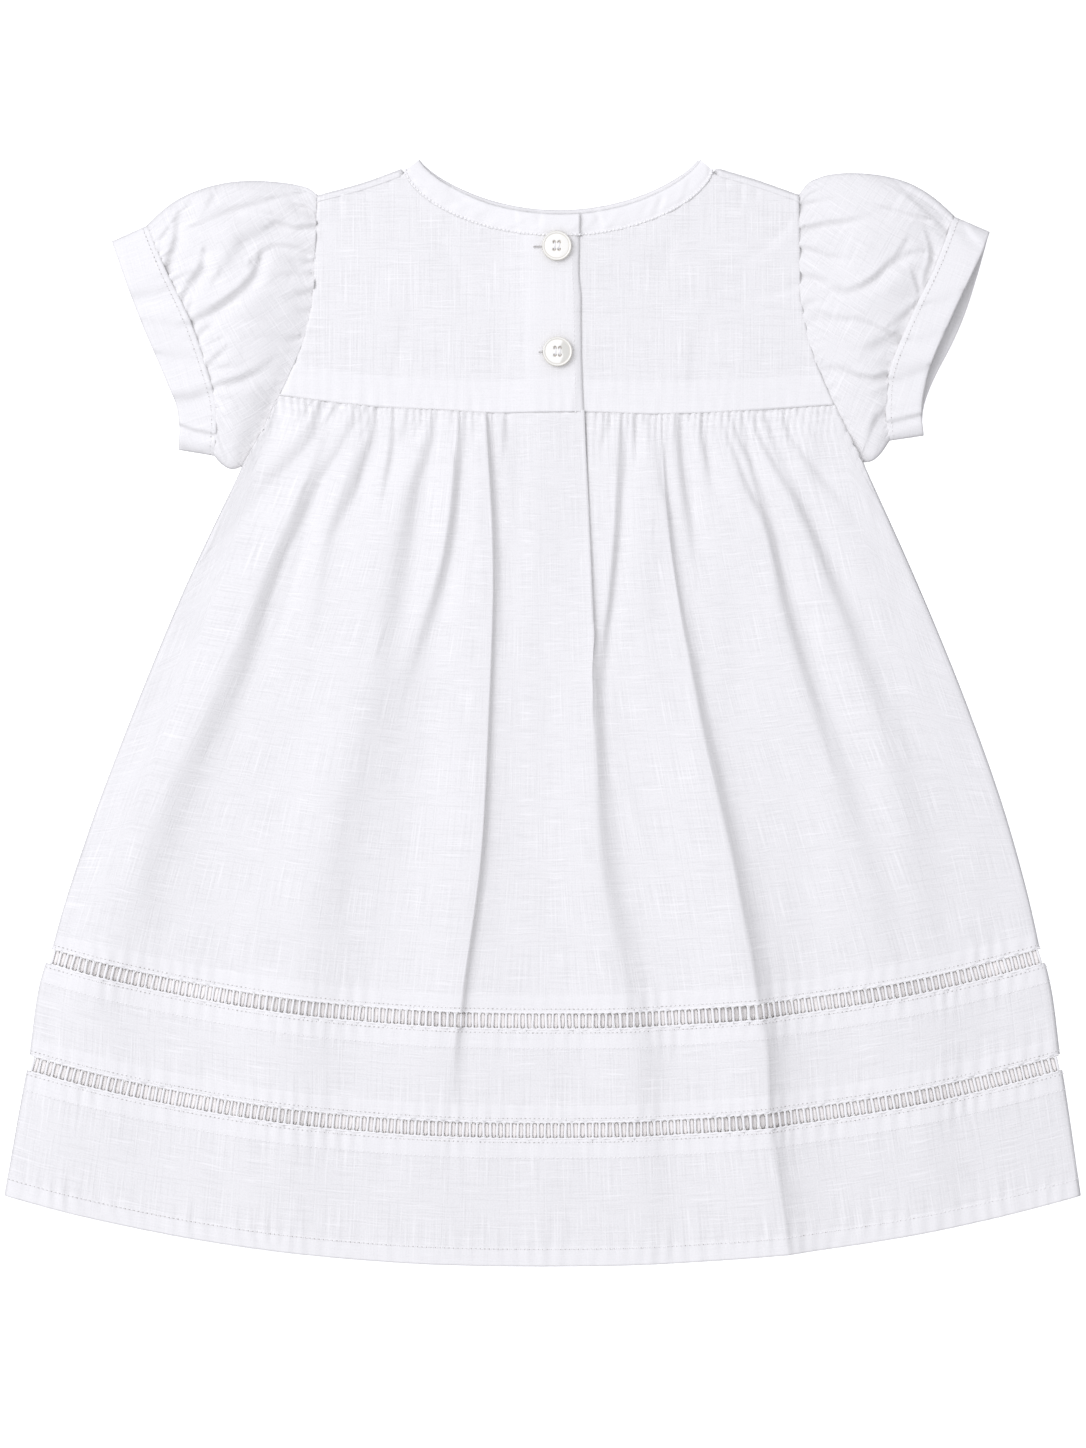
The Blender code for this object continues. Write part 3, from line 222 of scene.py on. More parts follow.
# Small pleats at the yoke seam: pitch, depth, how far down they fade, how far they lie over the seam
LOBE_PITCH = 2.7
LOBE_DEPTH = 1.7
LOBE_FADE = 8.0
LOBE_OVER = 0.9
LOBE_OVER_FADE = 2.4
LOBE_CREST = 1.6
FAN_CENTRE = 5.0
FAN_SPREAD = 900.0
TUCK_REACH = 1.1
TUCK_DEPTH = 0.3
BAND_DITCH = 0.3
BAND_WRINKLE = 0.22
PUFF_RISE = 1.9
PUFF_START = 1.6
PUFF_FADE = 52.0
PUFF_FLAT = (-16.0, -9.0)
PUFF_LEVELS = (0.75, 1.05)
ZONE_EDGE = 3.0
GATHER_RIGHT_EXTRA = 0.3
GATHER_RIGHT_FROM = (12.0, 40.0)
# Minor gathers between the drawn ones: ranges of start, length, lean and depth, and where there are none
MINOR_GATHERS = 40
MINOR_SEED = 11
MINOR_SPAN = (-102.0, 113.0)
MINOR_LENGTH = (4.0, 15.0)
MINOR_LEAN = (0.004, 0.011)
MINOR_DEPTH = (0.25, 0.7)
MINOR_REACHES = (0.9, 1.1)
MINOR_TOP = 121.0
MINOR_NONE = (-14.0, 22.0)

# Soft creases lower down the skirt: path, widths, depths, lip share
SKIRT_CREASES = [
    ([(29, -23), (34.5, -35), (38, -49.5), (40.5, -59)], (1.8, 2.2), (-0.5, -0.6, -0.1), 0.0),
    ([(62, 21), (66, 0), (71, -22), (76, -46), (80, -66), (86, -92)], (3.0, 4.6), (0.6, 0.6, 0.2), 0.0),
    ([(-118, 48), (-126, 10), (-136, -30), (-150, -72)], (6.0, 9.0), (0.3, 0.5, 0.1), 0.0),
    ([(-45, 6), (-48, -30), (-52, -70)], (5.0, 8.0), (0.3, 0.4, 0.1), 0.0),
    ([(0, 60), (1, 10), (4, -50), (8, -96)], (7.0, 9.0), (0.3, 0.5, 0.2), 0.0),
    ([(48, 60), (51, 20), (55, -30), (60, -80)], (5.0, 8.0), (0.3, 0.4, 0.1), 0.0),
]

# Ladders: first and last level, first and last place across, number of gaps
UPPER_LADDER = (1.0, 1.072, -196.2, 199.0, 148)
LOWER_LADDER = (1.43, 1.502, -204.2, 206.2, 150)
BAR_WIDTH = 1.25
FRONT_BAR_WIDTH = 2.2
FRONT_BAR_LIFT = 0.75
FRONT_FOLLOWS = 0.78
RAIL_WIDTH = 0.85
HEM_TURN = 7.5
STRIP_ABOVE = 6.4
STRIP_BELOW = 8.0

# Sleeves: seam and open edge of each cuff, from the top to the underarm
LEFT_CUFF_SEAM = [
    (-158.2, 194.6), (-150.8, 177.0), (-140.5, 155.5), (-134.4, 137.6), (-130.6, 122.8), (-131.2, 102.4),
]
LEFT_CUFF_EDGE = [
    (-172.2, 188.2), (-161.6, 159.1), (-150.2, 132.0), (-146.2, 122.0), (-145.2, 114.8), (-145.5, 104.8),
]
RIGHT_CUFF_SEAM = [
    (164.6, 198.3), (156.4, 177.0), (148.2, 159.8), (143.2, 148.4), (138.6, 135.6), (137.4, 119.8),
    (138.6, 108.4),
]
RIGHT_CUFF_EDGE = [
    (178.8, 192.0), (176.4, 185.8), (163.6, 158.4), (152.8, 130.5), (151.4, 119.2), (152.4, 110.5),
]
RIGHT_CUFF_UNDER_EDGE = [
    (179.8, 189.6), (178.2, 182.4), (171.8, 164.8), (164.6, 148.8), (157.4, 132.8), (153.6, 120.8),
    (152.4, 108.8),
]
# Share of the way from armhole to cuff, bulge of the left and right crowns' outlines, height of the puff
SLEEVE_RINGS = [
    (0.00, 0.0, 0.0, 2.8), (0.05, 3.2, 4.5, 3.6), (0.13, 5.8, 8.0, 4.9), (0.25, 8.4, 10.6, 6.7),
    (0.40, 10.6, 12.0, 8.6), (0.55, 11.4, 12.2, 9.7), (0.70, 10.4, 10.8, 9.8), (0.84, 7.4, 7.2, 9.0),
    (0.94, 3.2, 3.0, 8.0), (1.00, 0.0, 0.0, 7.3),
]
CUFF_HEIGHTS_LEFT = [(0.0, 7.8), (0.5, 7.7), (1.0, 7.6)]
CUFF_HEIGHTS_RIGHT = [(0.0, 7.8), (0.5, 8.7), (1.0, 9.4)]
RING_FULLNESS = 0.55
UNDERARM_FALL = 0.42
PILLOW_RISE = 1.7
CREASE_DEEPER = 1.3
CREASE_WIDER = 0.85
SLEEVE_LAP = 0.6
CUFF_LAP = 0.35
CROWN_FADE = 3
UNDERARM_DROP = 3.0
UNDERARM_FADE = 6
SLEEVE_GRAIN_TURN = 29.0
CUFF_GRAIN_TURN = 19.0

# Creases over the sleeves and cuffs: path along the foot with the steep side on its right, reaches, depths
LEFT_SLEEVE_CREASES = [
    ([(-94, 184.2), (-100.5, 186.3), (-107.5, 186.6), (-112.5, 184), (-115.6, 180.5)],
     (0.9, 1.2), (1.2, 1.0, 0.8)),
    ([(-113.8, 179), (-115.8, 173.9), (-120.1, 169), (-126.3, 164.1), (-133.6, 159.1), (-139.7, 156.7)],
     (1.4, 1.5), (1.4, 2.2, 1.3)),
    ([(-112.8, 192.3), (-120, 188.6), (-124, 184), (-127.5, 178)], (3.0, 3.5), (0.8, 1.5, 0.6)),
    ([(-110.5, 139), (-114, 136.5), (-120.1, 133.4), (-126.3, 131.5), (-131.8, 130.3)],
     (1.6, 1.2), (0.4, 1.4, 1.2)),
    ([(-145.9, 198), (-146.5, 192.3), (-147.1, 187.4), (-148.9, 182.5), (-150.2, 178.8)],
     (1.3, 1.3), (0.5, 1.4, 1.5)),
    ([(-135.5, 182), (-136.7, 176.3), (-141, 171.4), (-143.4, 166.5)], (1.4, 1.2), (0.8, 1.7, 1.2)),
    ([(-139, 207), (-142, 203), (-146, 198)], (1.8, 1.6), (0.4, 1.0, 0.6)),
    ([(-110.3, 204.5), (-120.1, 202), (-125, 200.4), (-131, 197.9), (-137.3, 195)],
     (1.6, 1.8), (0.6, 1.5, 0.5)),
    ([(-131, 208), (-133, 204), (-135, 200)], (1.3, 1.3), (0.5, 0.8, 0.3)),
    ([(-100, 207.2), (-110.3, 205.5), (-121.3, 206.4), (-126.3, 203)], (1.6, 1.8), (0.6, 0.7, 0.4)),
    ([(-91.3, 194.7), (-98, 193.5), (-105.4, 195.3), (-112.8, 197.8), (-118, 198.5)],
     (1.0, 1.6), (1.5, 1.2, 0.3)),
    ([(-91.6, 200.2), (-94.4, 202.1), (-99.3, 203.3), (-104, 203)], (0.9, 1.3), (1.2, 0.9, 0.2)),
    ([(-93.1, 180.6), (-97, 180), (-101, 182.5)], (0.9, 1.0), (1.1, 1.0, 0.2)),
    ([(-93.1, 175.7), (-100, 175.2), (-110.3, 174.5)], (1.0, 1.2), (1.0, 0.6, 0.1)),
    ([(-129.9, 148.7), (-134.8, 146.9)], (1.2, 1.0), (0.6, 0.9, 0.6)),
    ([(-127.5, 144.5), (-130.5, 142), (-133.6, 139)], (1.2, 1.0), (0.5, 1.1, 0.8)),
    ([(-127, 137.6), (-133, 135.6)], (1.1, 1.0), (0.4, 0.8, 0.7)),
    ([(-131, 156.5), (-136, 152.5), (-138.2, 150)], (1.2, 1.0), (0.4, 1.0, 0.7)),
    ([(-130, 111), (-128, 104), (-125, 98)], (1.3, 1.5), (0.9, 1.0, 0.4)),
    ([(-92, 169), (-98, 167), (-104, 166)], (0.9, 1.2), (0.9, 0.5, 0.1)),
    ([(-93.5, 161), (-99, 159.6)], (0.9, 1.0), (0.8, 0.4, 0.1)),
    ([(-98, 150), (-104, 148.5)], (0.9, 1.1), (0.8, 0.4, 0.1)),
    ([(-150.5, 192), (-152.8, 188), (-154, 184)], (1.0, 0.9), (0.4, 0.9, 0.7)),
    ([(-139, 171), (-140, 166), (-141.4, 161)], (1.1, 1.0), (0.4, 0.9, 0.7)),
]
RIGHT_SLEEVE_CREASES = [
    ([(143.8, 186.5), (140.7, 181.6), (137, 178), (132.6, 173.7), (127, 170), (120.8, 168.1), (114.6, 168.4)],
     (1.3, 1.3), (0.6, 2.0, 0.5)),
    ([(150.6, 184), (146.9, 183.8), (143, 181.5)], (1.1, 1.1), (0.6, 1.0, 0.5)),
    ([(129.5, 198.5), (120.8, 196), (113.4, 195.4), (105.3, 194.1)], (1.4, 1.2), (0.3, 1.3, 1.3)),
    ([(152.4, 197.2), (145.6, 198.5), (138.2, 201), (130.8, 202.2)], (1.0, 1.2), (0.9, 1.2, 0.3)),
    ([(153.2, 190), (154.9, 184.4), (154.4, 179), (152.8, 174.9), (152.1, 171.2)],
     (0.9, 0.9), (0.5, 1.6, 0.5)),
    ([(142, 209.6), (148, 203.4), (155, 197.5), (161.8, 191)], (1.4, 1.3), (0.2, 0.7, 0.6)),
    ([(123.3, 181.1), (113.4, 182.4), (108.4, 184.8), (103.5, 186.1)], (1.2, 1.0), (0.2, 1.0, 1.2)),
    ([(115.3, 170.5), (112, 172.5), (108.4, 174.3), (104.7, 174.9)], (1.5, 1.2), (0.7, 1.2, 0.9)),
    ([(147.5, 174.5), (149.4, 168.7)], (0.9, 0.9), (0.5, 0.9, 0.7)),
    ([(146.9, 161.5), (144, 158.5), (139.4, 155.1)], (1.5, 1.8), (0.9, 1.1, 0.4)),
    ([(143.2, 149.5), (138.2, 151.4), (132, 154.5), (125.8, 156.9), (111, 157.6)],
     (0.9, 1.3), (1.1, 1.0, 0.4)),
    ([(138.2, 150), (132, 147), (125.8, 145.2)], (1.6, 2.0), (0.6, 0.9, 0.2)),
    ([(137.6, 135.2), (132, 133.4), (125.8, 134.6), (119.6, 137.1), (111, 139)], (1.1, 1.4), (1.3, 1.3, 0.4)),
    ([(137, 139.6), (132, 141.4)], (1.0, 1.2), (0.8, 0.6, 0.2)),
    ([(136.9, 121), (133.2, 117.9), (130.8, 112.9), (129, 107)], (1.4, 1.4), (0.9, 1.2, 0.4)),
    ([(114.6, 158.8), (104, 161.3)], (1.2, 1.0), (0.3, 0.6, 0.7)),
    ([(113, 205), (104, 203.5)], (1.4, 1.0), (0.3, 0.6, 0.9)),
]
LEFT_CUFF_CREASES = [
    ([(-144.7, 155.5), (-158.1, 156.7)], (2.5, 2.5), (0.6, 0.8, 0.7)),
    ([(-154.5, 167.7), (-164.3, 166.5)], (2.0, 2.0), (0.4, 0.6, 0.6)),
    ([(-142.2, 142), (-150.8, 143.2)], (2.2, 2.2), (0.5, 0.7, 0.6)),
    ([(-133.6, 128.5), (-140, 126.5), (-146.5, 126)], (2.2, 2.2), (1.0, 1.5, 1.3)),
    ([(-132.4, 111.3), (-139, 112.6), (-145.3, 115)], (0.8, 0.9), (1.3, 1.7, 1.8)),
    ([(-131.5, 104.6), (-138, 104.4), (-145.4, 107)], (1.4, 1.4), (0.6, 0.8, 0.8)),
    ([(-158, 184), (-168, 181.5)], (2.0, 2.0), (0.3, 0.5, 0.4)),
]
RIGHT_CUFF_CREASES = [
    ([(166, 168), (156, 164)], (2.5, 2.5), (0.4, 0.6, 0.5)),
    ([(152.5, 138), (146, 135.5), (141, 134)], (2.2, 2.2), (0.8, 1.0, 0.9)),
    ([(151, 119), (145, 117.5), (139.4, 116.2)], (0.9, 1.0), (1.3, 1.3, 1.0)),
    ([(174, 187.5), (171, 190.5), (169, 195)], (1.1, 1.2), (0.7, 0.8, 0.4)),
    ([(159, 152), (149, 149.5)], (2.5, 2.5), (0.4, 0.6, 0.5)),
]

# Small creases of the yoke and the neck band
YOKE_CREASES = [
    ([(-61.5, 213), (-60.5, 211), (-59.5, 209.5)], (0.8, 0.8), (0.4, 0.4, 0.1), 0.4),
    ([(-72, 209), (-70.5, 207), (-69, 205.5)], (0.9, 0.9), (0.4, 0.4, 0.1), 0.4),
    ([(-81, 205), (-80.5, 201.5), (-80, 197)], (1.0, 1.1), (0.45, 0.4, 0.1), 0.4),
    ([(74, 213.5), (74, 211), (74, 209)], (0.8, 0.8), (0.4, 0.4, 0.1), 0.4),
    ([(80, 210), (80, 205.5), (79.5, 200.5)], (1.0, 1.1), (0.45, 0.4, 0.1), 0.4),
    ([(86, 208), (86, 205)], (0.9, 0.9), (0.4, 0.3, 0.1), 0.4),
    ([(-92, 196), (-84, 188), (-72, 182)], (1.6, 2.6), (0.5, 0.4, 0.1), 0.2),
    ([(-92, 172), (-82, 168), (-70, 168)], (1.6, 2.8), (0.45, 0.35, 0.1), 0.2),
    ([(-40, 189), (-34, 176), (-30, 160)], (2.0, 3.4), (0.35, 0.3, 0.1), 0.2),
    ([(-60, 134), (-56, 150), (-50, 168)], (2.0, 3.6), (0.3, 0.25, 0.1), 0.2),
    ([(98, 194), (90, 186), (80, 180)], (1.6, 2.6), (0.5, 0.4, 0.1), 0.2),
    ([(102, 170), (92, 166), (80, 167)], (1.6, 2.8), (0.45, 0.35, 0.1), 0.2),
    ([(52, 186), (48, 174), (46, 158)], (2.0, 3.4), (0.35, 0.3, 0.1), 0.2),
    ([(60, 134), (62, 150), (68, 166)], (2.0, 3.6), (0.3, 0.25, 0.1), 0.2),
    ([(16, 160), (24, 158), (34, 160)], (1.4, 2.4), (0.3, 0.25, 0.1), 0.2),
]
BAND_CREASES = [
    ([(-37, 209), (-31, 205), (-25, 202.5)], (1.0, 1.2), (0.4, 0.5, 0.2), 0.4),
    ([(-11, 199.5), (-10, 194)], (0.8, 0.9), (0.3, 0.35, 0.2), 0.4),
    ([(-1, 198.5), (-1, 193)], (0.8, 0.9), (0.3, 0.35, 0.2), 0.4),
    ([(22, 199), (24, 193)], (0.8, 0.9), (0.35, 0.4, 0.2), 0.4),
    ([(48, 205), (46, 199)], (0.8, 0.9), (0.3, 0.3, 0.1), 0.4),
]

# Buttons and their thread
BUTTON_ACROSS = 11.8
BUTTON_THICK = 2.3
BUTTON_BACK = 0.75
BUTTON_RIM = 0.42
# The face inside the rim, as steps inward and down from the rim's top, and the radii of its level middle
BUTTON_FACE = ((0.86, 0.17), (0.96, 0.22), (1.08, 0.2), (1.25, 0.15), (1.6, 0.12), (2.4, 0.1))
BUTTON_MIDDLE = (2.9, 2.2, 1.2, 0.4)
BUTTON_MIDDLE_DROP = 0.12
BUTTON_HOLE = 1.45
BUTTON_HOLE_DEEP = 0.75
BUTTON_HOLE_SPREAD = (0.95, 1.42)
BUTTON_REST = BACK_TOP + LAYER_STEP + 0.3
# Thread over a button: places along a strand, its width and height, how it is sunk and arched, its places
STRAND_POINTS = 15
STRAND_WIDE = 0.32
STRAND_HIGH = 0.3
STRAND_SUNK = 0.75
STRAND_ARCH = 0.72
STRAND_OFFSETS = (-0.24, 0.0, 0.24)
# Name, place across and up, strength of the painted dark reflection crescent
BUTTONS = [("button_upper", 5.7, 186.0, 0.12), ("button_lower", 6.0, 143.8, 0.9)]

# Buttonholes beside the buttons: ends across, height up the yoke, stitches beside the slit
SLIT_SPANS = [(-3.4, -0.3), (-1.2, -0.3)]
SLIT_UPS = (185.7, 143.6)
SLIT_STITCH_OFF = 0.55
# Height of the dark beads that paint the shade in each slit
SLIT_TOP = BUTTON_REST + 0.02

# Finishes, as linear colours
CLOTH_COLOUR = (0.806, 0.796, 0.783)
DOUBLED_COLOUR = (0.838, 0.828, 0.815)
THREAD_COLOUR = (0.862, 0.851, 0.838)
# Thread of the front's ladders, seen only through the back's gaps: a warmer and lighter copy of the thread
# colour, painted as the warm shade tone inside the gaps
SHADE_TONED_THREAD_COLOUR = (0.92, 0.885, 0.85)
BRIGHT_THREAD_COLOUR = (0.90, 0.89, 0.88)
PEARL_COLOUR = (0.90, 0.885, 0.82)
PEARL_CLOUD = (0.87, 0.87, 0.82)
# Painted dark reflection on the buttons' faces
PEARL_PAINTED_REFLECTION = (0.62, 0.61, 0.55)
# Painted tan shade along the buttons' rims
PEARL_PAINTED_RIM_SHADE = (0.50, 0.46, 0.36)
# Painted grey-brown shade inside the buttons' holes
PEARL_PAINTED_HOLE_SHADE = (0.62, 0.57, 0.50)
# Dark colour painted as the shade in needle holes and in the buttonhole slits
PAINTED_HOLE_SHADE_COLOUR = (0.47, 0.45, 0.43)


# Readings of tables


def smooth(keys, values):
    """A smooth reading of a table of numbers or points, one for each key."""
    keys = np.asarray(keys, float)
    values = np.asarray(values, float)
    slopes = np.gradient(values, keys, axis=0)

    def read(key):
        key = np.clip(np.asarray(key, float), keys[0], keys[-1])
        low = np.clip(np.searchsorted(keys, key, side="right") - 1, 0, len(keys) - 2)
        span = keys[low + 1] - keys[low]
        t = (key - keys[low]) / span
        if values.ndim > 1:
            span, t = span[..., None], t[..., None]
        ease = t * t * (3.0 - 2.0 * t)
        leave = t * (1.0 - t) * (1.0 - t) * span
        arrive = t * t * (t - 1.0) * span
        step = values[low + 1] - values[low]
        return values[low] + ease * step + leave * slopes[low] + arrive * slopes[low + 1]

    return read


def walk_along(path):
    """Length walked along a path, from its start to each of its places."""
    return np.concatenate([[0.0], np.cumsum(np.linalg.norm(np.diff(path, axis=0), axis=1))])


def curve(points):
    """A smooth curve through points, read by the share of its length."""
    points = np.asarray(points, float)
    lengths = walk_along(points)
    return smooth(lengths / lengths[-1], points)


def along(points, shares):
    """Places on a straight-sided path at shares of its length."""
    points = np.asarray(points, float)
    lengths = walk_along(points)
    places = [np.interp(shares, lengths / lengths[-1], points[:, k]) for k in range(points.shape[1])]
    return np.stack(places, axis=-1)


def blend(low, high, share):
    return low + (high - low) * share


def ramp(value, start, end):
    share = np.clip((value - start) / (end - start), 0.0, 1.0)
    return share * share * (3.0 - 2.0 * share)


def bell(distance, width):
    return np.exp(-((distance / width) ** 2))


class Unevenness:
    """Smooth uneven values between -1 and 1 on a lattice of one unit, the same each time."""

    def __init__(self, seed, size=64):
        self.size = size
        self.lattice = np.random.default_rng(seed).uniform(-1.0, 1.0, (size, size))

    def __call__(self, across, up=0.0):
        across, up = np.broadcast_arrays(np.asarray(across, float), np.asarray(up, float))
        left, low = np.floor(across).astype(int), np.floor(up).astype(int)
        fx, fy = across - left, up - low
        fx = fx * fx * (3.0 - 2.0 * fx)
        fy = fy * fy * (3.0 - 2.0 * fy)

        def corner(dx, dy):
            return self.lattice[(left + dx) % self.size, (low + dy) % self.size]

        near = blend(corner(0, 0), corner(1, 0), fx)
        far = blend(corner(0, 1), corner(1, 1), fx)
        return blend(near, far, fy)


def beside(path, across, up):
    """Signed distance of places from a path, positive on its left, and the share of the way along."""
    points = np.asarray(path, float)
    steps = np.linalg.norm(np.diff(points, axis=0), axis=1)
    total = steps.sum()
    nearest = np.full(across.shape, np.inf)
    side = np.zeros(across.shape)
    share = np.zeros(across.shape)
    begun = 0.0
    for start, end, length in zip(points, points[1:], steps):
        run = (end - start) / length
        dx, dy = across - start[0], up - start[1]
        walked = np.clip(dx * run[0] + dy * run[1], 0.0, length)
        distance = np.hypot(dx - walked * run[0], dy - walked * run[1])
        closer = distance < nearest
        nearest = np.where(closer, distance, nearest)
        side = np.where(closer, np.where(run[0] * dy - run[1] * dx < 0.0, -1.0, 1.0), side)
        share = np.where(closer, (begun + walked) / total, share)
        begun += length
    return nearest * side, share


# Creases: how far off they are worked out, the shares of the way at which depths are given, and the
# reaches of their sides and of the ridge beside them, in widths
TROUGH_REACH = 14.0
TROUGH_SHARES = (0.0, 0.45, 1.0)
STEEP_SIDE = 0.75
GENTLE_SIDE = 1.8
RIDGE_OFF = 2.0
RIDGE_REACH = 1.4


def near_path(path, across, up):
    """Whether places are close enough to a path for its crease to reach them."""
    points = np.asarray(path, float)
    low, high = points.min(axis=0) - TROUGH_REACH, points.max(axis=0) + TROUGH_REACH
    return (across > low[0]) & (across < high[0]) & (up > low[1]) & (up < high[1])


def trough(across, up, path, widths, depths, lip, lip_side=1):
    """Change in height of a soft crease: steep below its ridge, and gentle on its other side."""
    change = np.zeros(across.shape)
    near = near_path(path, across, up)
    if not near.any():
        return change
    signed, share = beside(path, across[near], up[near])
    width = blend(widths[0], widths[1], share)
    depth = np.interp(share, TROUGH_SHARES, depths)
    toward = signed * math.copysign(1.0, lip) * lip_side
    hollow = bell(toward, np.where(toward > 0.0, STEEP_SIDE * width, GENTLE_SIDE * width))
    ridge = bell(toward - RIDGE_OFF * width, RIDGE_REACH * width)
    change[near] = depth * (abs(lip) * ridge - hollow)
    return change


def troughs(across, up, creases, lip_side=1):
    total = np.zeros(np.broadcast(across, up).shape)
    for path, widths, depths, lip in creases:
        total += trough(across, up, path, widths, depths, lip, lip_side)
    return total


def pleat(across, up, path, reaches, depths):
    """Change in height of a pleat, walked along its foot: steep on the right side, gentle on the left."""
    change = np.zeros(across.shape)
    near = near_path(path, across, up)
    signed, share = beside(path, across[near], up[near])
    reach = blend(reaches[0], reaches[1], share)
    depth = np.interp(share, TROUGH_SHARES, depths)
    off = signed - PLEAT_SHIFT * reach
    hollow = bell(off, np.where(off > 0.0, PLEAT_EAST * reach, reach))
    crest_place, crest_reach, crest_share = PLEAT_CREST
    crest = crest_share * bell(signed + crest_place * reach, crest_reach * reach)
    change[near] = depth * (crest - hollow)
    return change


def pleats(across, up, creases, wider=1.0):
    total = np.zeros(np.broadcast(across, up).shape)
    for path, reaches, depths in creases:
        total += pleat(across, up, path, (reaches[0] * wider, reaches[1] * wider), depths)
    return total


def dip(edge, across):
    """Height of a neck edge at a place across."""
    centre, half, lowest, depth, fullness = edge
    side = np.minimum(np.abs(across - centre) / half, 1.0)
    return lowest + depth * (1.0 - (1.0 - side * side) ** fullness)


# Cloth as grids of places


class Cloth:
    """A sheet of cloth as rows and columns of places, with its grain and where it is doubled."""

    def __init__(self, places, grain, doubled=None):
        self.places = places
        self.grain = grain
        self.doubled = np.zeros(places.shape[:2]) if doubled is None else doubled

    def row(self, number, lift, turned=False):
        """Places along a row or, turned, a column, which may lie between two."""
        lines = self.places.swapaxes(0, 1) if turned else self.places
        low = min(int(number), len(lines) - 2)
        found = blend(lines[low], lines[low + 1], number - low)
        found[:, 2] += lift
        return found


def laid(across, up, height, doubled=None):
    """Cloth whose grain runs straight up and across."""
    grain = np.stack([across, up], axis=-1) * MM
    return Cloth(np.stack([across, up, height], axis=-1), grain, doubled)


def grid_faces(rows, columns, gap=None):
    """Faces of a grid, seen from above with rows running down; gap(row, column) leaves faces out."""
    row, column = np.meshgrid(np.arange(rows - 1), np.arange(columns - 1), indexing="ij")
    kept = np.ones(row.shape, bool) if gap is None else ~gap
    row, column = row[kept], column[kept]
    corner = row * columns + column
    return np.stack([corner + columns, corner + columns + 1, corner + 1, corner], axis=-1)


def into_scene(name, data):
    """A new object in the scene, for a mesh, a lamp or a camera."""
    made = bpy.data.objects.new(name, data)
    bpy.context.scene.collection.objects.link(made)
    return made


def mesh_of(name, points, faces, grain=None, doubled=None):
    """A mesh piece from places in millimetres; grain is a weave place for each point, in metres."""
    used, faces = np.unique(faces, return_inverse=True)
    faces = faces.reshape(-1, 4)
    points = points[used]
    mesh = bpy.data.meshes.new(name)
    mesh.vertices.add(len(points))
    mesh.vertices.foreach_set("co", (points * MM).astype(np.float32).ravel())
    mesh.loops.add(len(faces) * 4)
    mesh.polygons.add(len(faces))
    mesh.polygons.foreach_set("loop_start", np.arange(0, len(faces) * 4, 4, dtype=np.int32))
    mesh.loops.foreach_set("vertex_index", faces.astype(np.int32).ravel())
    if grain is not None:
        weave = mesh.uv_layers.new(name="weave")
        weave.data.foreach_set("uv", grain[used][faces.ravel()].astype(np.float32).ravel())
    if doubled is not None:
        layer = mesh.attributes.new("doubled", "FLOAT", "POINT")
        layer.data.foreach_set("value", doubled[used].astype(np.float32))
    mesh.update()
    mesh.validate()
    mesh.shade_smooth()
    return into_scene(name, mesh)


def thicken(piece, look, wall):
    """The piece in its finish, as a closed shell under its places."""
    piece.data.materials.append(look)
    shell = piece.modifiers.new("thickness", "SOLIDIFY")
    shell.thickness = wall * MM
    shell.offset = -1.0
    return piece


def sew(name, cloth, look, wall=SHELL, gap=None):
    """The cloth as a thin closed shell under its places."""
    rows, columns = cloth.places.shape[:2]
    faces = grid_faces(rows, columns, gap)
    piece = mesh_of(
        name, cloth.places.reshape(-1, 3), faces, cloth.grain.reshape(-1, 2), cloth.doubled.ravel()
    )
    return thicken(piece, look, wall)


# Skirt


GUIDE_NAMES = [row[0] for row in SKIRT_GUIDES]
OPENING_EDGE = GUIDE_NAMES.index("opening_edge")
OPENING_FOOT = GUIDE_NAMES.index("opening_foot")
GUIDE_SEAMS = np.array([row[2] for row in SKIRT_GUIDES])
GUIDE_READS = smooth(SKIRT_LEVELS, np.array([row[3] for row in SKIRT_GUIDES]).T)
EVERY_LEVEL = np.ones(len(SKIRT_LEVELS))
FOLD_READS = [
    (
        smooth(SKIRT_LEVELS, crests), smooth(SKIRT_LEVELS, rises), left,
        smooth(SKIRT_LEVELS, right * EVERY_LEVEL), lean, CRISP_FOLDS.get(name, 0.0),
    )
    for name, crests, rises, left, right, lean in SKIRT_FOLDS
]
SWELL = Unevenness(3)
RIPPLE = Unevenness(5)
PUCKER = Unevenness(7)
# Unevenness of calm cloth: which, its reaches across and up, and its height
CALM_SWELL = (SWELL, 34.0, 60.0, 0.2)
CALM_RIPPLE = (RIPPLE, 9.0, 22.0, 0.12)
CALM_STREAKS = (PUCKER, 13.0, 80.0, 1.0)
# Height of the streaks on the skirt and on the bands, and the levels between the two
STREAK_HEIGHTS = (0.24, 0.40)
STREAK_LEVELS = (0.9, 1.1)


def uneven(kind, across, up):
    """Height of one row of unevenness at places on the cloth."""
    values, reach_across, reach_up, size = kind
    return size * values(across / reach_across, up / reach_up)


def hem_arc(across, level):
    """Height of a level line, one of the arcs that the ladders and the hem follow."""
    share = level - 1.0
    pairs = (HEM_MIDDLE, HEM_DROP, HEM_CENTRE, HEM_HALF)
    middle, drop, centre, half = (blend(*pair, share) for pair in pairs)
    return middle + drop * (np.abs(across - centre) / half) ** HEM_ARC_POWER


def skirt_grid(levels, lines):
    """Places across and up for levels down the skirt and lines across it."""
    guides = GUIDE_READS(levels)
    low = np.clip(lines.astype(int), 0, len(SKIRT_GUIDES) - 2)
    share = lines - low
    across = blend(guides[:, low], guides[:, low + 1], share)
    level = np.broadcast_to(levels[:, None], across.shape)
    foot = GUIDE_READS(np.array([1.0]))
    foot = blend(foot[:, low], foot[:, low + 1], share)
    seam = blend(GUIDE_SEAMS[low], GUIDE_SEAMS[low + 1], share)
    above = blend(seam, hem_arc(foot, 1.0), level)
    up = np.where(level < 1.0, above, hem_arc(across, level))
    return across, up, level


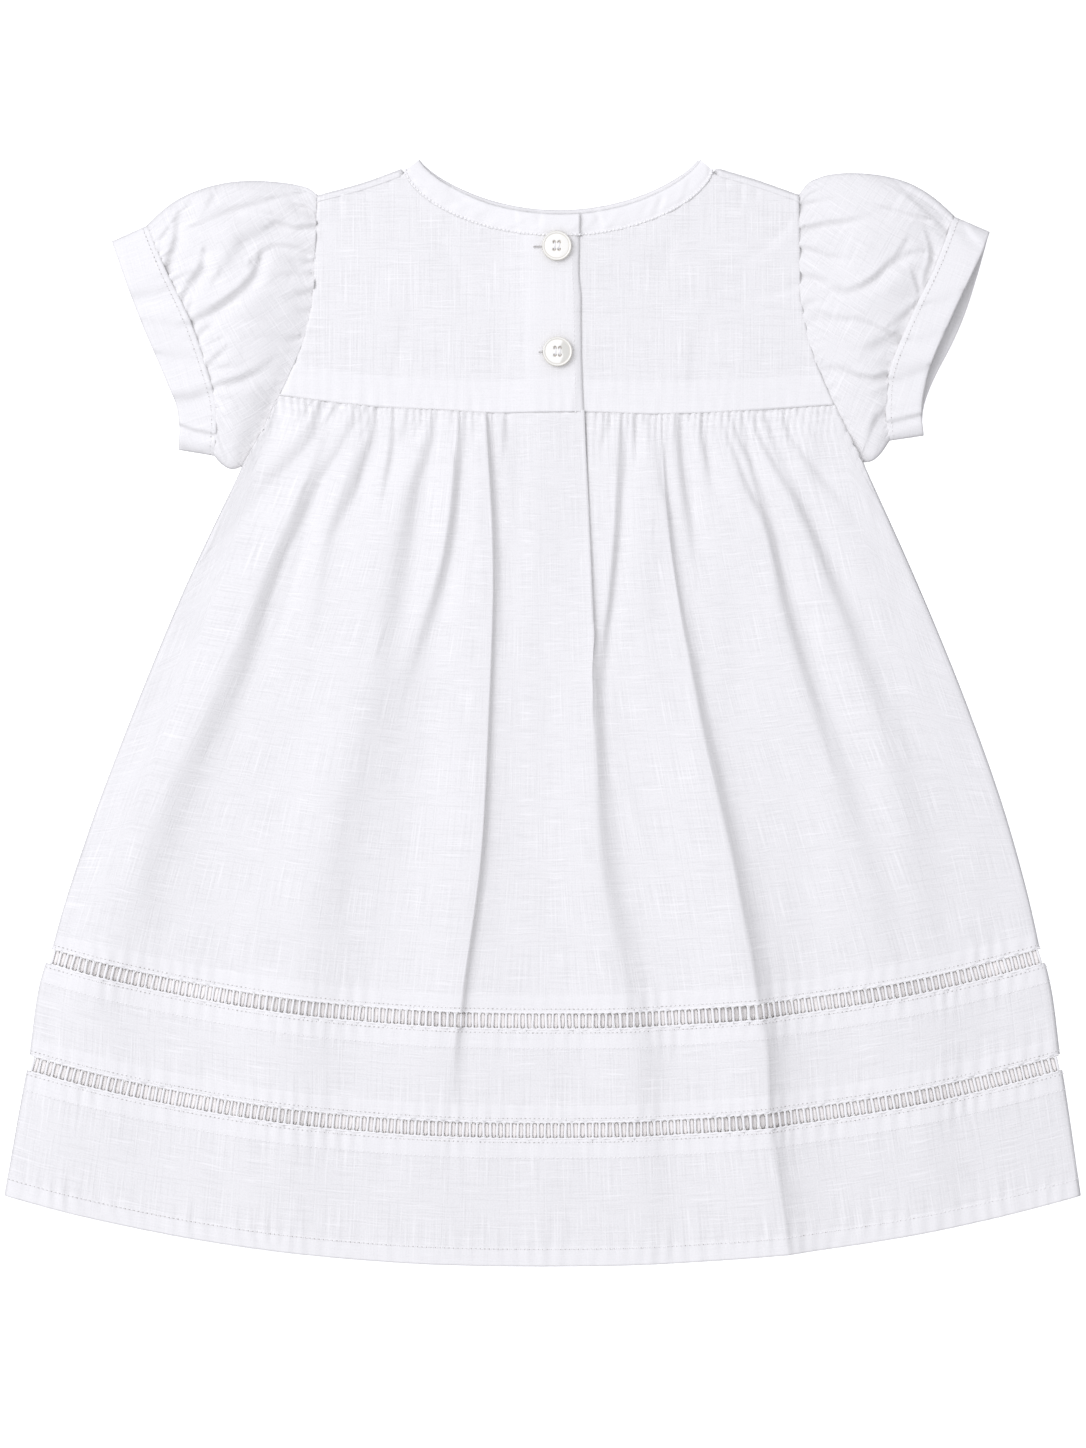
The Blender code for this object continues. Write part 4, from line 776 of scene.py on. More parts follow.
def skirt_lines(share=1.0):
    """Lines down the cloth, counted in guides, closer where it is gathered or folded."""
    lines = [0.0]
    for guide, row in enumerate(SKIRT_GUIDES):
        steps = max(int(round(row[1] * share)), 1) if row[1] else 0
        lines.extend(guide - 1 + (step + 1) / steps for step in range(steps))
    return np.array(lines)


def from_sides(across, level):
    """How far places on the skirt are from its nearer side edge."""
    guides = GUIDE_READS(level)
    return np.minimum(across - guides[..., 0], guides[..., -1] - across)


def fold_lie(across, level):
    """Rise of the large folds, and how far they lean to the right."""
    rise_all = np.zeros(across.shape)
    lean_all = np.zeros(across.shape)
    for crest, rise, left, right, lean, crisp in FOLD_READS:
        off = across - crest(level)
        height = np.maximum(rise(level), 0.0)
        steep = right(level)
        gentle_side = bell(off, np.where(off < 0.0, left, steep))
        past = np.maximum(off, 0.0) / steep
        crisp_side = blend(np.exp(-past), np.exp(-past / CRISP_LIP[1]), CRISP_LIP[0])
        right_side = blend(gentle_side, crisp_side, crisp * ramp(level, *CRISP_LEVELS))
        rise_all += height * np.where(off < 0.0, gentle_side, right_side)
        lean_all += lean * height / LEAN_FULL * bell(off, np.where(off < 0.0, LEAN_REACH, steep))
    return rise_all * ramp(from_sides(across, level), 0.0, SIDE_SETTLE), lean_all


def lobes(across, below):
    """Valleys between the small pleats that the yoke seam holds, 1 at their deepest."""
    wander = 1.9 * PUCKER(across / 8.3, 1.5)
    phase = math.pi * across / LOBE_PITCH + wander + below * (across - FAN_CENTRE) / FAN_SPREAD
    return (1.0 - np.abs(np.sin(phase))) ** 2 * (0.65 + 0.5 * PUCKER(across / 3.7, 4.5))


def gathered(across):
    """1 where the yoke seam holds pleats and 0 over the flat placket."""
    left = ramp(-across, -PUFF_FLAT[1], -PUFF_FLAT[0])
    return left + ramp(across, PLACKET_EDGE, PLACKET_EDGE + ZONE_EDGE)


def gather_puff(across, up, level):
    """Rise of the fullness below the yoke seam, with its gathers."""
    below = np.maximum(level, 0.0) * SKIRT_LENGTH
    zone = gathered(across)
    swell = PUFF_RISE * (1.0 - np.exp(-below / PUFF_START)) * np.exp(-below / PUFF_FADE) * zone
    total = swell * (0.8 + 0.35 * SWELL(across / 7.0, up / 26.0 + 4.0))
    total -= LOBE_DEPTH * lobes(across, below) * np.exp(-below / LOBE_FADE) * zone
    total += pleats(across, up, GATHERS) * (1.0 + GATHER_RIGHT_EXTRA * ramp(across, *GATHER_RIGHT_FROM))
    places = np.random.default_rng(MINOR_SEED)
    for _ in range(MINOR_GATHERS):
        start = places.uniform(*MINOR_SPAN)
        length = places.uniform(*MINOR_LENGTH)
        lean = (start - FAN_CENTRE) * places.uniform(*MINOR_LEAN) * length
        depth = places.uniform(*MINOR_DEPTH)
        if MINOR_NONE[0] < start < MINOR_NONE[1]:
            continue
        middle = (start + lean * 0.4, MINOR_TOP - length * 0.5)
        path = [(start, MINOR_TOP + 0.5), middle, (start + lean, MINOR_TOP - length)]
        total += pleat(across, up, path, MINOR_REACHES, (depth, depth * 0.8, 0.0))
    return total


def side_roll(from_edge, height):
    """The edge of the upper layer turns down towards the lower one."""
    down = np.clip(1.0 - from_edge / EDGE_ROLL, 0.0, 1.0)
    return blend(height, EDGE_LOW, down * down)


def skirt_height(across, up, level):
    rise, lean = fold_lie(across, level)
    edge = GUIDE_READS(level)[..., OPENING_EDGE]
    on_strip = ramp(across, *PLACKET_RISE) * (across < edge + 0.3)
    overlap = LAYER_STEP * on_strip * (1.0 - ramp(level, SLIT_END, SLIT_END + SLIT_FADE))
    upper = 1.0 - ramp(level, *PUFF_LEVELS)
    calm = uneven(CALM_SWELL, across, up) + uneven(CALM_RIPPLE, across, up)
    calm = calm + blend(*STREAK_HEIGHTS, ramp(level, *STREAK_LEVELS)) * uneven(CALM_STREAKS, across, up)
    below = np.maximum(level, 0.0) * SKIRT_LENGTH
    out_of_seam = 1.0 - np.exp(-below / TUCK_REACH)
    relief = rise + calm + gather_puff(across, up, level) * upper + troughs(across, up, SKIRT_CREASES, -1)
    height = BACK_TOP + overlap + relief * out_of_seam - TUCK_DEPTH * (1.0 - out_of_seam)
    return height, lean


# Puckers: how far they wander and over how many pitches, and how their strength changes
PUCKER_WANDER = (2.4, 3.1)
PUCKER_STRENGTH = (0.55, 0.45, 1.7)
PUCKER_SEED_STEP = 9.0


def pucker(across, distance, pitch, reach, size, seed):
    """Soft uneven puckers across a stitched line; distance is from the line."""
    wander, long = PUCKER_WANDER
    phase = 2.0 * math.pi * across / pitch + wander * PUCKER(across / (pitch * long), seed)
    least, change, spread = PUCKER_STRENGTH
    strength = least + change * PUCKER(across / (pitch * spread), seed + PUCKER_SEED_STEP)
    return size * strength * np.sin(phase) * bell(distance, reach)


def strip(value, start, end):
    """1 inside a doubled strip of levels and 0 outside, with a soft edge."""
    half = np.where(value < 1.0, STRIP_EDGE / SKIRT_LENGTH, STRIP_EDGE / LEVEL_LENGTH) / 2.0
    return ramp(value, start - half, start + half) * (1.0 - ramp(value, end - half, end + half))


def finish_skirt(levels, lines, doubled_strips, puckers):
    """A part of the back's skirt as cloth. Doubled strips are pairs of levels, and each puckered line is
    its level, the pitch, reach and size of its puckers, and a seed."""
    across, up, level = skirt_grid(levels, lines)
    height, lean = skirt_height(across, up, level)
    doubled = np.zeros(across.shape)
    for start, end in doubled_strips:
        doubled = np.maximum(doubled, strip(level, start, end))
    height = height + STRIP_STEP * doubled
    doubled = STRIP_LIGHTER * doubled
    for at, pitch, reach, size, seed in puckers:
        unit = np.where(level < 1.0, SKIRT_LENGTH, LEVEL_LENGTH)
        height = height + pucker(across, (level - at) * unit, pitch, reach, size, seed)
    height = np.maximum(side_roll(from_sides(across, level), height), BACK_LEAST)
    below = np.maximum(level, 0.0) * SKIRT_LENGTH
    crests = 1.0 - LOBE_CREST * lobes(across, below)
    over = LOBE_OVER * gathered(across) * crests * np.exp(-below / LOBE_OVER_FADE) * (level > 0.0)
    guides = GUIDE_READS(level)
    edge, foot = guides[..., OPENING_EDGE], guides[..., OPENING_FOOT]
    past = np.clip((across - edge) / (foot - edge), 0.0, 1.0)
    on_slit = 1.0 - ramp(level, SLIT_END + SLIT_CLOSES[0], SLIT_END + SLIT_CLOSES[1])
    carried = (foot - edge + SLIT_OVER) * ramp(across, edge - SLIT_EDGE_REACH, edge)
    lean = lean + carried * (1.0 - past) * on_slit
    places = np.stack([across + lean, up + over, height], axis=-1)
    drop = np.where(level < 1.0, level * SKIRT_LENGTH, SKIRT_LENGTH + (level - 1.0) * LEVEL_LENGTH)
    guides = GUIDE_READS(np.array([1.0]))
    low = np.clip(lines.astype(int), 0, len(SKIRT_GUIDES) - 2)
    column = blend(guides[0, low], guides[0, low + 1], lines - low)
    grain = np.stack([np.broadcast_to(column, drop.shape), -drop], axis=-1) * MM
    return Cloth(places, grain, doubled)


def level_rows(*spans):
    """Levels from spans of (start, end, count), without repeats."""
    rows = [np.linspace(start, end, count, endpoint=False) for start, end, count in spans]
    rows.append(np.array([spans[-1][1]]))
    return np.concatenate(rows)


SEAM_LEVEL = SEAM_HALF / SKIRT_LENGTH
TUCK_LEVEL = -0.7 / SKIRT_LENGTH
LAP = 0.4 / LEVEL_LENGTH
ABOVE = STRIP_ABOVE / LEVEL_LENGTH
BELOW = STRIP_BELOW / LEVEL_LENGTH
TURN = HEM_TURN / LEVEL_LENGTH
SOFT = 0.6 * STRIP_EDGE / LEVEL_LENGTH
ABOVE_SKIRT = 1.0 - STRIP_ABOVE / SKIRT_LENGTH


def make_back_skirt(look):
    levels = level_rows(
        (TUCK_LEVEL, 0.0, 2), (0.0, 0.02, 8), (0.02, 0.16, 28), (0.16, 0.36, 24),
        (0.36, ABOVE_SKIRT - 0.004, 38), (ABOVE_SKIRT - 0.004, ABOVE_SKIRT + 0.004, 3),
        (ABOVE_SKIRT + 0.004, 1.0 + LAP, 6),
    )
    lines = skirt_lines()
    cloth = finish_skirt(
        levels, lines, [(ABOVE_SKIRT, 1.1)],
        [(1.0, 6.1, 9.0, 0.30, 1.0), (ABOVE_SKIRT, 5.2, 4.0, 0.12, 2.0)],
    )
    middle = (lines[:-1] + lines[1:]) / 2.0
    in_slit = (middle > OPENING_EDGE) & (middle < OPENING_FOOT)
    gap = (levels[1:, None] <= SLIT_END + 0.001) & in_slit[None, :]
    piece = sew("back_skirt_cloth", cloth, look, gap=gap)
    return piece, cloth, levels


def make_back_bands(look):
    lines = skirt_lines()
    upper_foot, lower_top, lower_foot = UPPER_LADDER[1], LOWER_LADDER[0], LOWER_LADDER[1]
    top, bottom = upper_foot - LAP, lower_top + LAP
    middle_levels = level_rows(
        (top, top + BELOW - SOFT, 7), (top + BELOW - SOFT, top + BELOW + SOFT, 4),
        (top + BELOW + SOFT, bottom - ABOVE - SOFT, 8), (bottom - ABOVE - SOFT, bottom - ABOVE + SOFT, 4),
        (bottom - ABOVE + SOFT, bottom, 6),
    )
    middle = finish_skirt(
        middle_levels, lines, [(0.5, top + BELOW), (bottom - ABOVE, 1.9)],
        [(top, 5.6, 9.0, 0.34, 3.0), (bottom, 5.9, 9.0, 0.34, 4.0), (top + BELOW, 5.0, 3.0, 0.12, 5.0)],
    )
    top = lower_foot - LAP
    turn = 2.0 - TURN
    hem_levels = level_rows(
        (top, top + BELOW - SOFT, 7), (top + BELOW - SOFT, top + BELOW + SOFT, 4),
        (top + BELOW + SOFT, turn - 0.02, 10), (turn - 0.02, turn + 0.02, 10), (turn + 0.02, 2.0, 7),
    )
    hem = finish_skirt(
        hem_levels, lines, [(0.5, top + BELOW), (turn, 2.5)],
        [(top, 5.7, 9.0, 0.34, 6.0), (turn, 6.0, 6.0, 0.38, 7.0), (2.0, 6.2, 6.0, 0.24, 8.0)],
    )
    middle_piece = sew("back_middle_cloth", middle, look)
    hem_piece = sew("back_hem_cloth", hem, look)
    return (middle_piece, middle, middle_levels), (hem_piece, hem, hem_levels)


# The front's panels: columns, how far down they are gathered, and the unevenness of gathers and seams
FRONT_COLUMNS = 150
FRONT_GATHERED = 60.0
FRONT_GATHERS = (PUCKER, 3.4, 30.0, 0.12)
FRONT_SEAM_UNEVEN = 0.06


def make_front_panels(look):
    """The front's skirt and bands lie flat on the surface."""
    lines = np.linspace(0.0, len(SKIRT_GUIDES) - 1.0, FRONT_COLUMNS)
    bounds = [
        ("front_skirt_cloth", TUCK_LEVEL, 1.0 + LAP, 46),
        ("front_middle_cloth", UPPER_LADDER[1] - LAP, LOWER_LADDER[0] + LAP, 14),
        ("front_hem_cloth", LOWER_LADDER[1] - LAP, 2.0, 18),
    ]
    made = []
    for name, start, end, count in bounds:
        levels = np.linspace(start, end, count)
        across, up, level = skirt_grid(levels, lines)
        fullness = np.clip(1.0 - level * SKIRT_LENGTH / FRONT_GATHERED, 0.0, 1.0)
        calm = uneven(FRONT_GATHERS, across, up) * fullness
        at_seams = bell(level - 1.0, 0.05) + bell(level - 2.0 + TURN, 0.08)
        seams = FRONT_SEAM_UNEVEN * PUCKER(across / 3.0, 3.0) * at_seams
        height = FRONT_TOP + calm + seams
        doubled = strip(level, 1.0 - ABOVE, 1.0 + BELOW) + strip(level, 2.0 - TURN, 2.5)
        cloth = laid(across, up, height, np.clip(doubled, 0.0, 1.0))
        made.append(sew(name, cloth, look, wall=FRONT_SHELL))
    return made


def make_placket(look):
    levels = np.linspace(SEAM_LEVEL, SLIT_END, PLACKET_GRID[0])
    guides = GUIDE_READS(levels)
    edge = guides[:, OPENING_EDGE]
    foot = guides[:, OPENING_FOOT]
    up = skirt_grid(levels, np.array([float(OPENING_EDGE)]))[1]
    shares = np.linspace(0.0, 1.0, PLACKET_GRID[1])
    left = UNDERLAP_END + edge - PLACKET_EDGE
    right = foot - SEAM_GAP
    across = blend(left[:, None], right[:, None], shares[None, :])
    up = np.broadcast_to(up, across.shape)
    height = BACK_TOP + 0.06 * RIPPLE(across / 6.0, up / 12.0)
    return sew("placket_cloth", laid(across, up, height, np.ones(across.shape)), look)


# Yoke and neck

SEAM_READ = smooth(*zip(*YOKE_SEAM))
YOKE_ROWS = 84
YOKE_COLUMNS = 118
YOKE_TALL = 84.0
FRONT_YOKE_COLUMNS = 170
SHOULDER_POINTS = 12
SHOULDER_END_DROP = 1.4
SHOULDER_LIP_OVER = 0.2
SHOULDER_ROLL = 2.4
STRIP_SOFT = 0.5
ARMHOLE_PUCKER = 0.22
ARMHOLE_DITCH = 0.3
PLACKET_PUCKER = 0.10
# Puckers at the yoke seam, the doubled strip's edge and the neck: pitch, reach, size and seed
YOKE_PUCKERS = ((5.4, 9.0, 0.20, 11.0), (4.6, 5.0, 0.10, 12.0), (6.6, 5.0, 0.10, 13.0))
# Neck bands: turned edge, its roll and reach, middle's rise, place and reach of the stitched ditch
NECK_TURN = 0.45
NECK_TURN_REACH = 1.6
NECK_RISE = 0.12
NECK_WIDE = 9.3
NECK_STITCH = (0.10, 8.2, 2.2)
NECK_SEAM_DITCH = 0.3
NECK_LOWER = 0.1


def neck_run(edge, start, end, count):
    centre, half = edge[0], edge[1]
    angles = np.linspace(math.asin((start - centre) / half), math.asin((end - centre) / half), count)
    places = centre + half * np.sin(angles)
    return np.stack([places, dip(edge, places)], axis=-1)


def armhole_part(points, top, corner):
    """The armhole's stretch beside the yoke, from the shoulder seam to the yoke's corner."""
    kept = [point for point in points[1:] if point[1] > corner[1] + 1.0]
    return curve([top] + kept + [corner])


def yoke_grid(top_path, armhole, start, end, rows, columns, pull_power):
    """Places of a yoke from its top edge to the yoke seam, pulled to the armhole at one side or both."""
    shares = np.linspace(0.0, 1.0, columns)
    top_edge = along(top_path, shares)
    seam_across = np.linspace(start, end, columns)
    seam = np.stack([seam_across, SEAM_READ(seam_across) - SEAM_HALF], axis=-1)
    down = rows[:, None, None]
    grid = blend(top_edge[None], seam[None], down)
    for which, read in armhole.items():
        weights = 1.0 - shares if which == "left" else shares
        end_column = 0 if which == "left" else -1
        pull = read(rows) - grid[:, end_column]
        grid = grid + weights[None, :, None] ** pull_power * pull[:, None, :]
    return grid[..., 0], grid[..., 1]


def yoke_height(across, up, lifted):
    above = up - SEAM_READ(across)
    doubled = 1.0 - ramp(above, YOKE_STRIP - STRIP_SOFT, YOKE_STRIP + STRIP_SOFT)
    height = BACK_TOP + 0.14 * SWELL(across / 30.0 + 9.0, up / 34.0) + 0.05 * RIPPLE(across / 8.0, up / 9.0)
    height = height + STRIP_STEP * doubled + troughs(across, up, YOKE_CREASES)
    doubled = STRIP_LIGHTER * doubled
    for distance, kind in zip((above, above - YOKE_STRIP, up - dip(NECK_SEAM, across)), YOKE_PUCKERS):
        height = height + pucker(across, distance, *kind)
    if lifted:
        height = height + LAYER_STEP * ramp(across, *PLACKET_RISE)
    return height, doubled


def beside_armhole(up, from_armhole, spacing, seed):
    """Puckers along an armhole seam, and the seam's ditch."""
    wander = 2.2 * PUCKER(up / 9.0, seed)
    puckers = ARMHOLE_PUCKER * np.sin(up / spacing + wander) * bell(from_armhole, 4.0)
    return puckers - ARMHOLE_DITCH * bell(from_armhole, 0.8)


def shoulder_seam(fold, neck_end):
    """A back shoulder seam below its fold, from the armhole to its end at the neck."""
    seam = [(across, up - SHOULDER_LIP + SHOULDER_LIP_OVER) for across, up in fold[:-1]]
    return seam + [(neck_end, dip(NECK_SEAM, neck_end) - SHOULDER_END_DROP)]


def make_back_yoke(look):
    rows = np.linspace(0.0, 1.0, YOKE_ROWS)
    neck_left = NECK_SEAM[0] - NECK_SEAM[1]
    neck_right = NECK_SEAM[0] + NECK_SEAM[1]
    shares = np.linspace(0.0, 1.0, SHOULDER_POINTS)

    shoulder = curve(shoulder_seam(SHOULDER_FOLD_LEFT, neck_left))(shares)
    neck = neck_run(NECK_SEAM, neck_left, PLACKET_EDGE + PLACKET_TOP_SHIFT, 40)[1:] + (0.0, SEAM_LAP)
    path = np.concatenate([shoulder, neck])
    armhole = armhole_part(ARMHOLE_LEFT, tuple(path[0]), CORNER_LEFT)
    across, up = yoke_grid(path, {"left": armhole}, CORNER_LEFT[0], PLACKET_EDGE, rows, YOKE_COLUMNS, 2)
    height, doubled = yoke_height(across, up, True)
    flap = across[:, -1:] - across
    placket = 1.0 - ramp(flap, *PLACKET_WIDE)
    doubled = np.maximum(doubled, PLACKET_DOUBLED * placket)
    height = height + STRIP_STEP * 0.5 * placket
    wander = 1.5 * PUCKER(up / 13.0, 2.0)
    height = height + PLACKET_PUCKER * np.sin(up / 3.4 + wander) * bell(flap - 22.5, 2.5)
    height = height - FLAP_FALL * bell(flap, FLAP_ROLL)
    across = across + FLAP_WAVE * PUCKER(up / 11.0, 9.0) * bell(flap, 4.0)
    from_armhole = np.hypot(across - across[:, :1], up - up[:, :1])
    height = height + beside_armhole(up, from_armhole, 1.75, 4.0)
    left = laid(across, up, height, doubled)

    shoulder = curve(shoulder_seam(SHOULDER_FOLD_RIGHT, neck_right)[::-1])(shares)
    neck = neck_run(NECK_SEAM, UNDERLAP_END, neck_right, 40)[:-1] + (0.0, SEAM_LAP)
    path = np.concatenate([neck, shoulder])
    armhole = armhole_part(ARMHOLE_RIGHT, tuple(path[-1]), CORNER_RIGHT)
    across, up = yoke_grid(path, {"right": armhole}, UNDERLAP_END, CORNER_RIGHT[0], rows, YOKE_COLUMNS, 2)
    height, doubled = yoke_height(across, up, False)
    from_armhole = np.hypot(across - across[:, -1:], up - up[:, -1:])
    height = height + beside_armhole(up, from_armhole, 1.6, 6.0)
    right = laid(across, up, height, doubled)
    return sew("back_yoke_left_cloth", left, look), sew("back_yoke_right_cloth", right, look), left


def make_front_yoke(look):
    """The front yoke lies on the surface, and its shoulders roll over to the back's shoulder seams."""
    neck_left = FRONT_NECK_SEAM[0] - FRONT_NECK_SEAM[1]
    neck_right = FRONT_NECK_SEAM[0] + FRONT_NECK_SEAM[1]
    left_fold = curve(SHOULDER_FOLD_LEFT)(np.linspace(0.0, 1.0, SHOULDER_POINTS))
    right_fold = curve(SHOULDER_FOLD_RIGHT)(np.linspace(1.0, 0.0, SHOULDER_POINTS))
    neck = neck_run(FRONT_NECK_SEAM, neck_left, neck_right, 44)[1:-1] - (0.0, SEAM_HALF)
    path = np.concatenate([left_fold, neck, right_fold])
    armholes = {
        "left": armhole_part(ARMHOLE_LEFT, tuple(path[0]), CORNER_LEFT),
        "right": armhole_part(ARMHOLE_RIGHT, tuple(path[-1]), CORNER_RIGHT),
    }
    rows = np.concatenate([np.linspace(0.0, 0.04, 9), np.linspace(0.06, 1.0, 32)])
    across, up = yoke_grid(path, armholes, CORNER_LEFT[0], CORNER_RIGHT[0], rows, FRONT_YOKE_COLUMNS, 4)
    height = np.full(across.shape, FRONT_TOP) + 0.04 * RIPPLE(across / 8.0, up / 9.0)
    walked = walk_along(path)
    shares = np.linspace(0.0, 1.0, FRONT_YOKE_COLUMNS)
    on_left = shares <= walked[SHOULDER_POINTS - 1] / walked[-1]
    on_right = shares >= walked[-SHOULDER_POINTS] / walked[-1]
    on_shoulder = (on_left | on_right)[None, :]
    drop = rows[:, None] * YOKE_TALL
    rolled = BACK_TOP + 0.1 - SHOULDER_ROLL * bell(drop, 0.55)
    height = np.where(on_shoulder & (drop < SHOULDER_LIP + 0.9), np.maximum(rolled, 0.8), height)
    return sew("front_yoke_cloth", laid(across, up, height), look, wall=FRONT_SHELL)


def neck_cloth(seam, edge, start, end, top, lifted, seed, columns=120, rows=13):
    lower = neck_run(seam, start[0], end[0], columns)
    upper = neck_run(edge, start[1], end[1], columns)
    shares = np.linspace(0.0, 1.0, rows)[:, None, None]
    across, up = np.moveaxis(blend(upper[None], lower[None], shares), -1, 0)
    wide = np.linalg.norm(upper - lower, axis=-1)[None, :]
    from_edge = shares[..., 0] * wide
    rolled = -NECK_TURN * np.clip(1.0 - from_edge / NECK_TURN_REACH, 0.0, 1.0) ** 2
    arched = NECK_RISE * np.sin(np.clip(from_edge / NECK_WIDE, 0.0, 1.0) * math.pi)
    height = top + STRIP_STEP + 0.1 + rolled + arched
    walked = walk_along(lower)
    size, place, reach = NECK_STITCH
    stitched = np.sin(walked / 1.1 + 2.0 * PUCKER(walked / 9.0, seed))
    height = height + size * stitched[None, :] * bell(from_edge - place, reach)
    height = height + 0.08 * PUCKER(walked / 5.0, seed + 3.0)[None, :]
    from_seam = (1.0 - shares[..., 0]) * wide
    height = height - BAND_DITCH * bell(from_seam - 1.5, 0.7) - NECK_SEAM_DITCH * bell(from_seam, 0.5)
    slant = walked[None, :] * 0.9 + from_edge
    height = height + BAND_WRINKLE * PUCKER(slant / 3.1, seed + 6.0) * np.sin(shares[..., 0] * math.pi)
    height = height + troughs(across, up, BAND_CREASES)
    if lifted:
        height = height + LAYER_STEP * ramp(across, *PLACKET_RISE)
    height = np.maximum(height, SHELL + 0.02)
    grain = np.stack([np.broadcast_to(walked, across.shape), -from_edge], axis=-1) * MM
    return Cloth(np.stack([across, up, height], axis=-1), grain, np.ones(across.shape))


def make_neck_bands(look):
    def ends(side, *edges):
        return tuple(edge[0] + side * edge[1] for edge in edges)

    back = (NECK_SEAM, NECK_EDGE)
    front_edges = (FRONT_NECK_SEAM, FRONT_NECK_EDGE)
    flap_end = (PLACKET_EDGE + PLACKET_TOP_SHIFT,) * 2
    left = neck_cloth(*back, ends(-1, *back), flap_end, BACK_TOP, True, 21.0)
    right = neck_cloth(*back, (UNDERLAP_END,) * 2, ends(1, *back), BACK_TOP, False, 22.0)
    front = neck_cloth(
        *front_edges, ends(-1, *front_edges), ends(1, *front_edges), FRONT_TOP - NECK_LOWER, False, 23.0,
        columns=150, rows=11,
    )
    pieces = (
        sew("back_neck_band_left_cloth", left, look),
        sew("back_neck_band_right_cloth", right, look),
        sew("front_neck_band_cloth", front, look),
    )
    return pieces, (left, right)


# Sleeves and cuffs


UPPER_STEPS = 150
LOWER_STEPS = 26
# Rings of a sleeve as spans of the way from armhole to cuff, and pitches of the pleats at both ends
SLEEVE_SPANS = ((0.0, 0.2, 15), (0.2, 0.8, 39), (0.8, 1.0, 15))
ARMHOLE_PLEAT = 4.6
CUFF_PLEAT = 3.9
LAP_ENDS = (0.4, 0.65)
CUFF_RINGS = 22
CUFF_WALL = 0.9
CUFF_DOUBLED = 0.5
LEAST_HEIGHT = 0.02


def ring_steps():
    """Round a sleeve: share from the top edge to the underarm, share of the height, upper or lower."""
    angle = np.pi * np.arange(UPPER_STEPS + 1) / UPPER_STEPS
    share = (1.0 - np.cos(angle)) / 2.0
    lift = np.maximum(np.sin(angle), 0.0) ** RING_FULLNESS * (1.0 - UNDERARM_FALL * share)
    under = 1.0 - np.arange(1, LOWER_STEPS) / LOWER_STEPS
    shares = np.concatenate([share, under])
    lifts = np.concatenate([lift, np.zeros(len(under))])
    upper = np.concatenate([np.ones(len(share)), np.zeros(len(under))])
    return shares, lifts, upper


def tube_of(name, across, up, height, look, wall, doubled, turn):
    """A sleeve or cuff: rings of places joined round, as a thin closed shell. Its grain turns by degrees."""
    rings, around = across.shape
    places = np.stack([across, up, height], axis=-1).reshape(-1, 3)
    run, rise = math.cos(math.radians(turn)), math.sin(math.radians(turn))
    grain = np.stack(
        [across * run + up * rise + 0.5 * height, up * run - across * rise + 0.4 * height], axis=-1
    ).reshape(-1, 2) * MM
    ring, step = np.meshgrid(np.arange(rings - 1), np.arange(around), indexing="ij")
    after = (step + 1) % around
    near, far = ring * around, (ring + 1) * around
    faces = np.stack([near + step, near + after, far + after, far + step], axis=-1).reshape(-1, 4)
    piece = mesh_of(name, places, faces, grain, np.broadcast_to(doubled, (rings, around)).ravel())
    return thicken(piece, look, wall)


def pleat_valleys(walked, pitch, seed):
    """Narrow valleys between round pleats, uneven in depth and spacing."""
    phase = math.pi * walked / pitch + 2.2 * PUCKER(walked / 7.0, seed)
    return (1.0 - np.abs(np.sin(phase))) ** 2 * (0.6 + 0.55 * PUCKER(walked / 4.1, seed + 3.0))


def sleeve_gathers(share_out, walked, seed):
    """Pleats beside the armhole and the cuff that fade over the puff."""
    at_armhole = 0.9 * bell(share_out - 0.09, 0.06) * pleat_valleys(walked, ARMHOLE_PLEAT, seed)
    at_cuff = 1.2 * bell(share_out - 1.0, 0.10) * pleat_valleys(walked, CUFF_PLEAT, seed + 5.0)
    wander = 2.6 * PUCKER(walked / 8.0, seed + 7.0)
    wide = 0.35 * np.sin(walked / 1.9 + wander) * bell(share_out - 0.9, 0.22)
    return wide - at_armhole - at_cuff


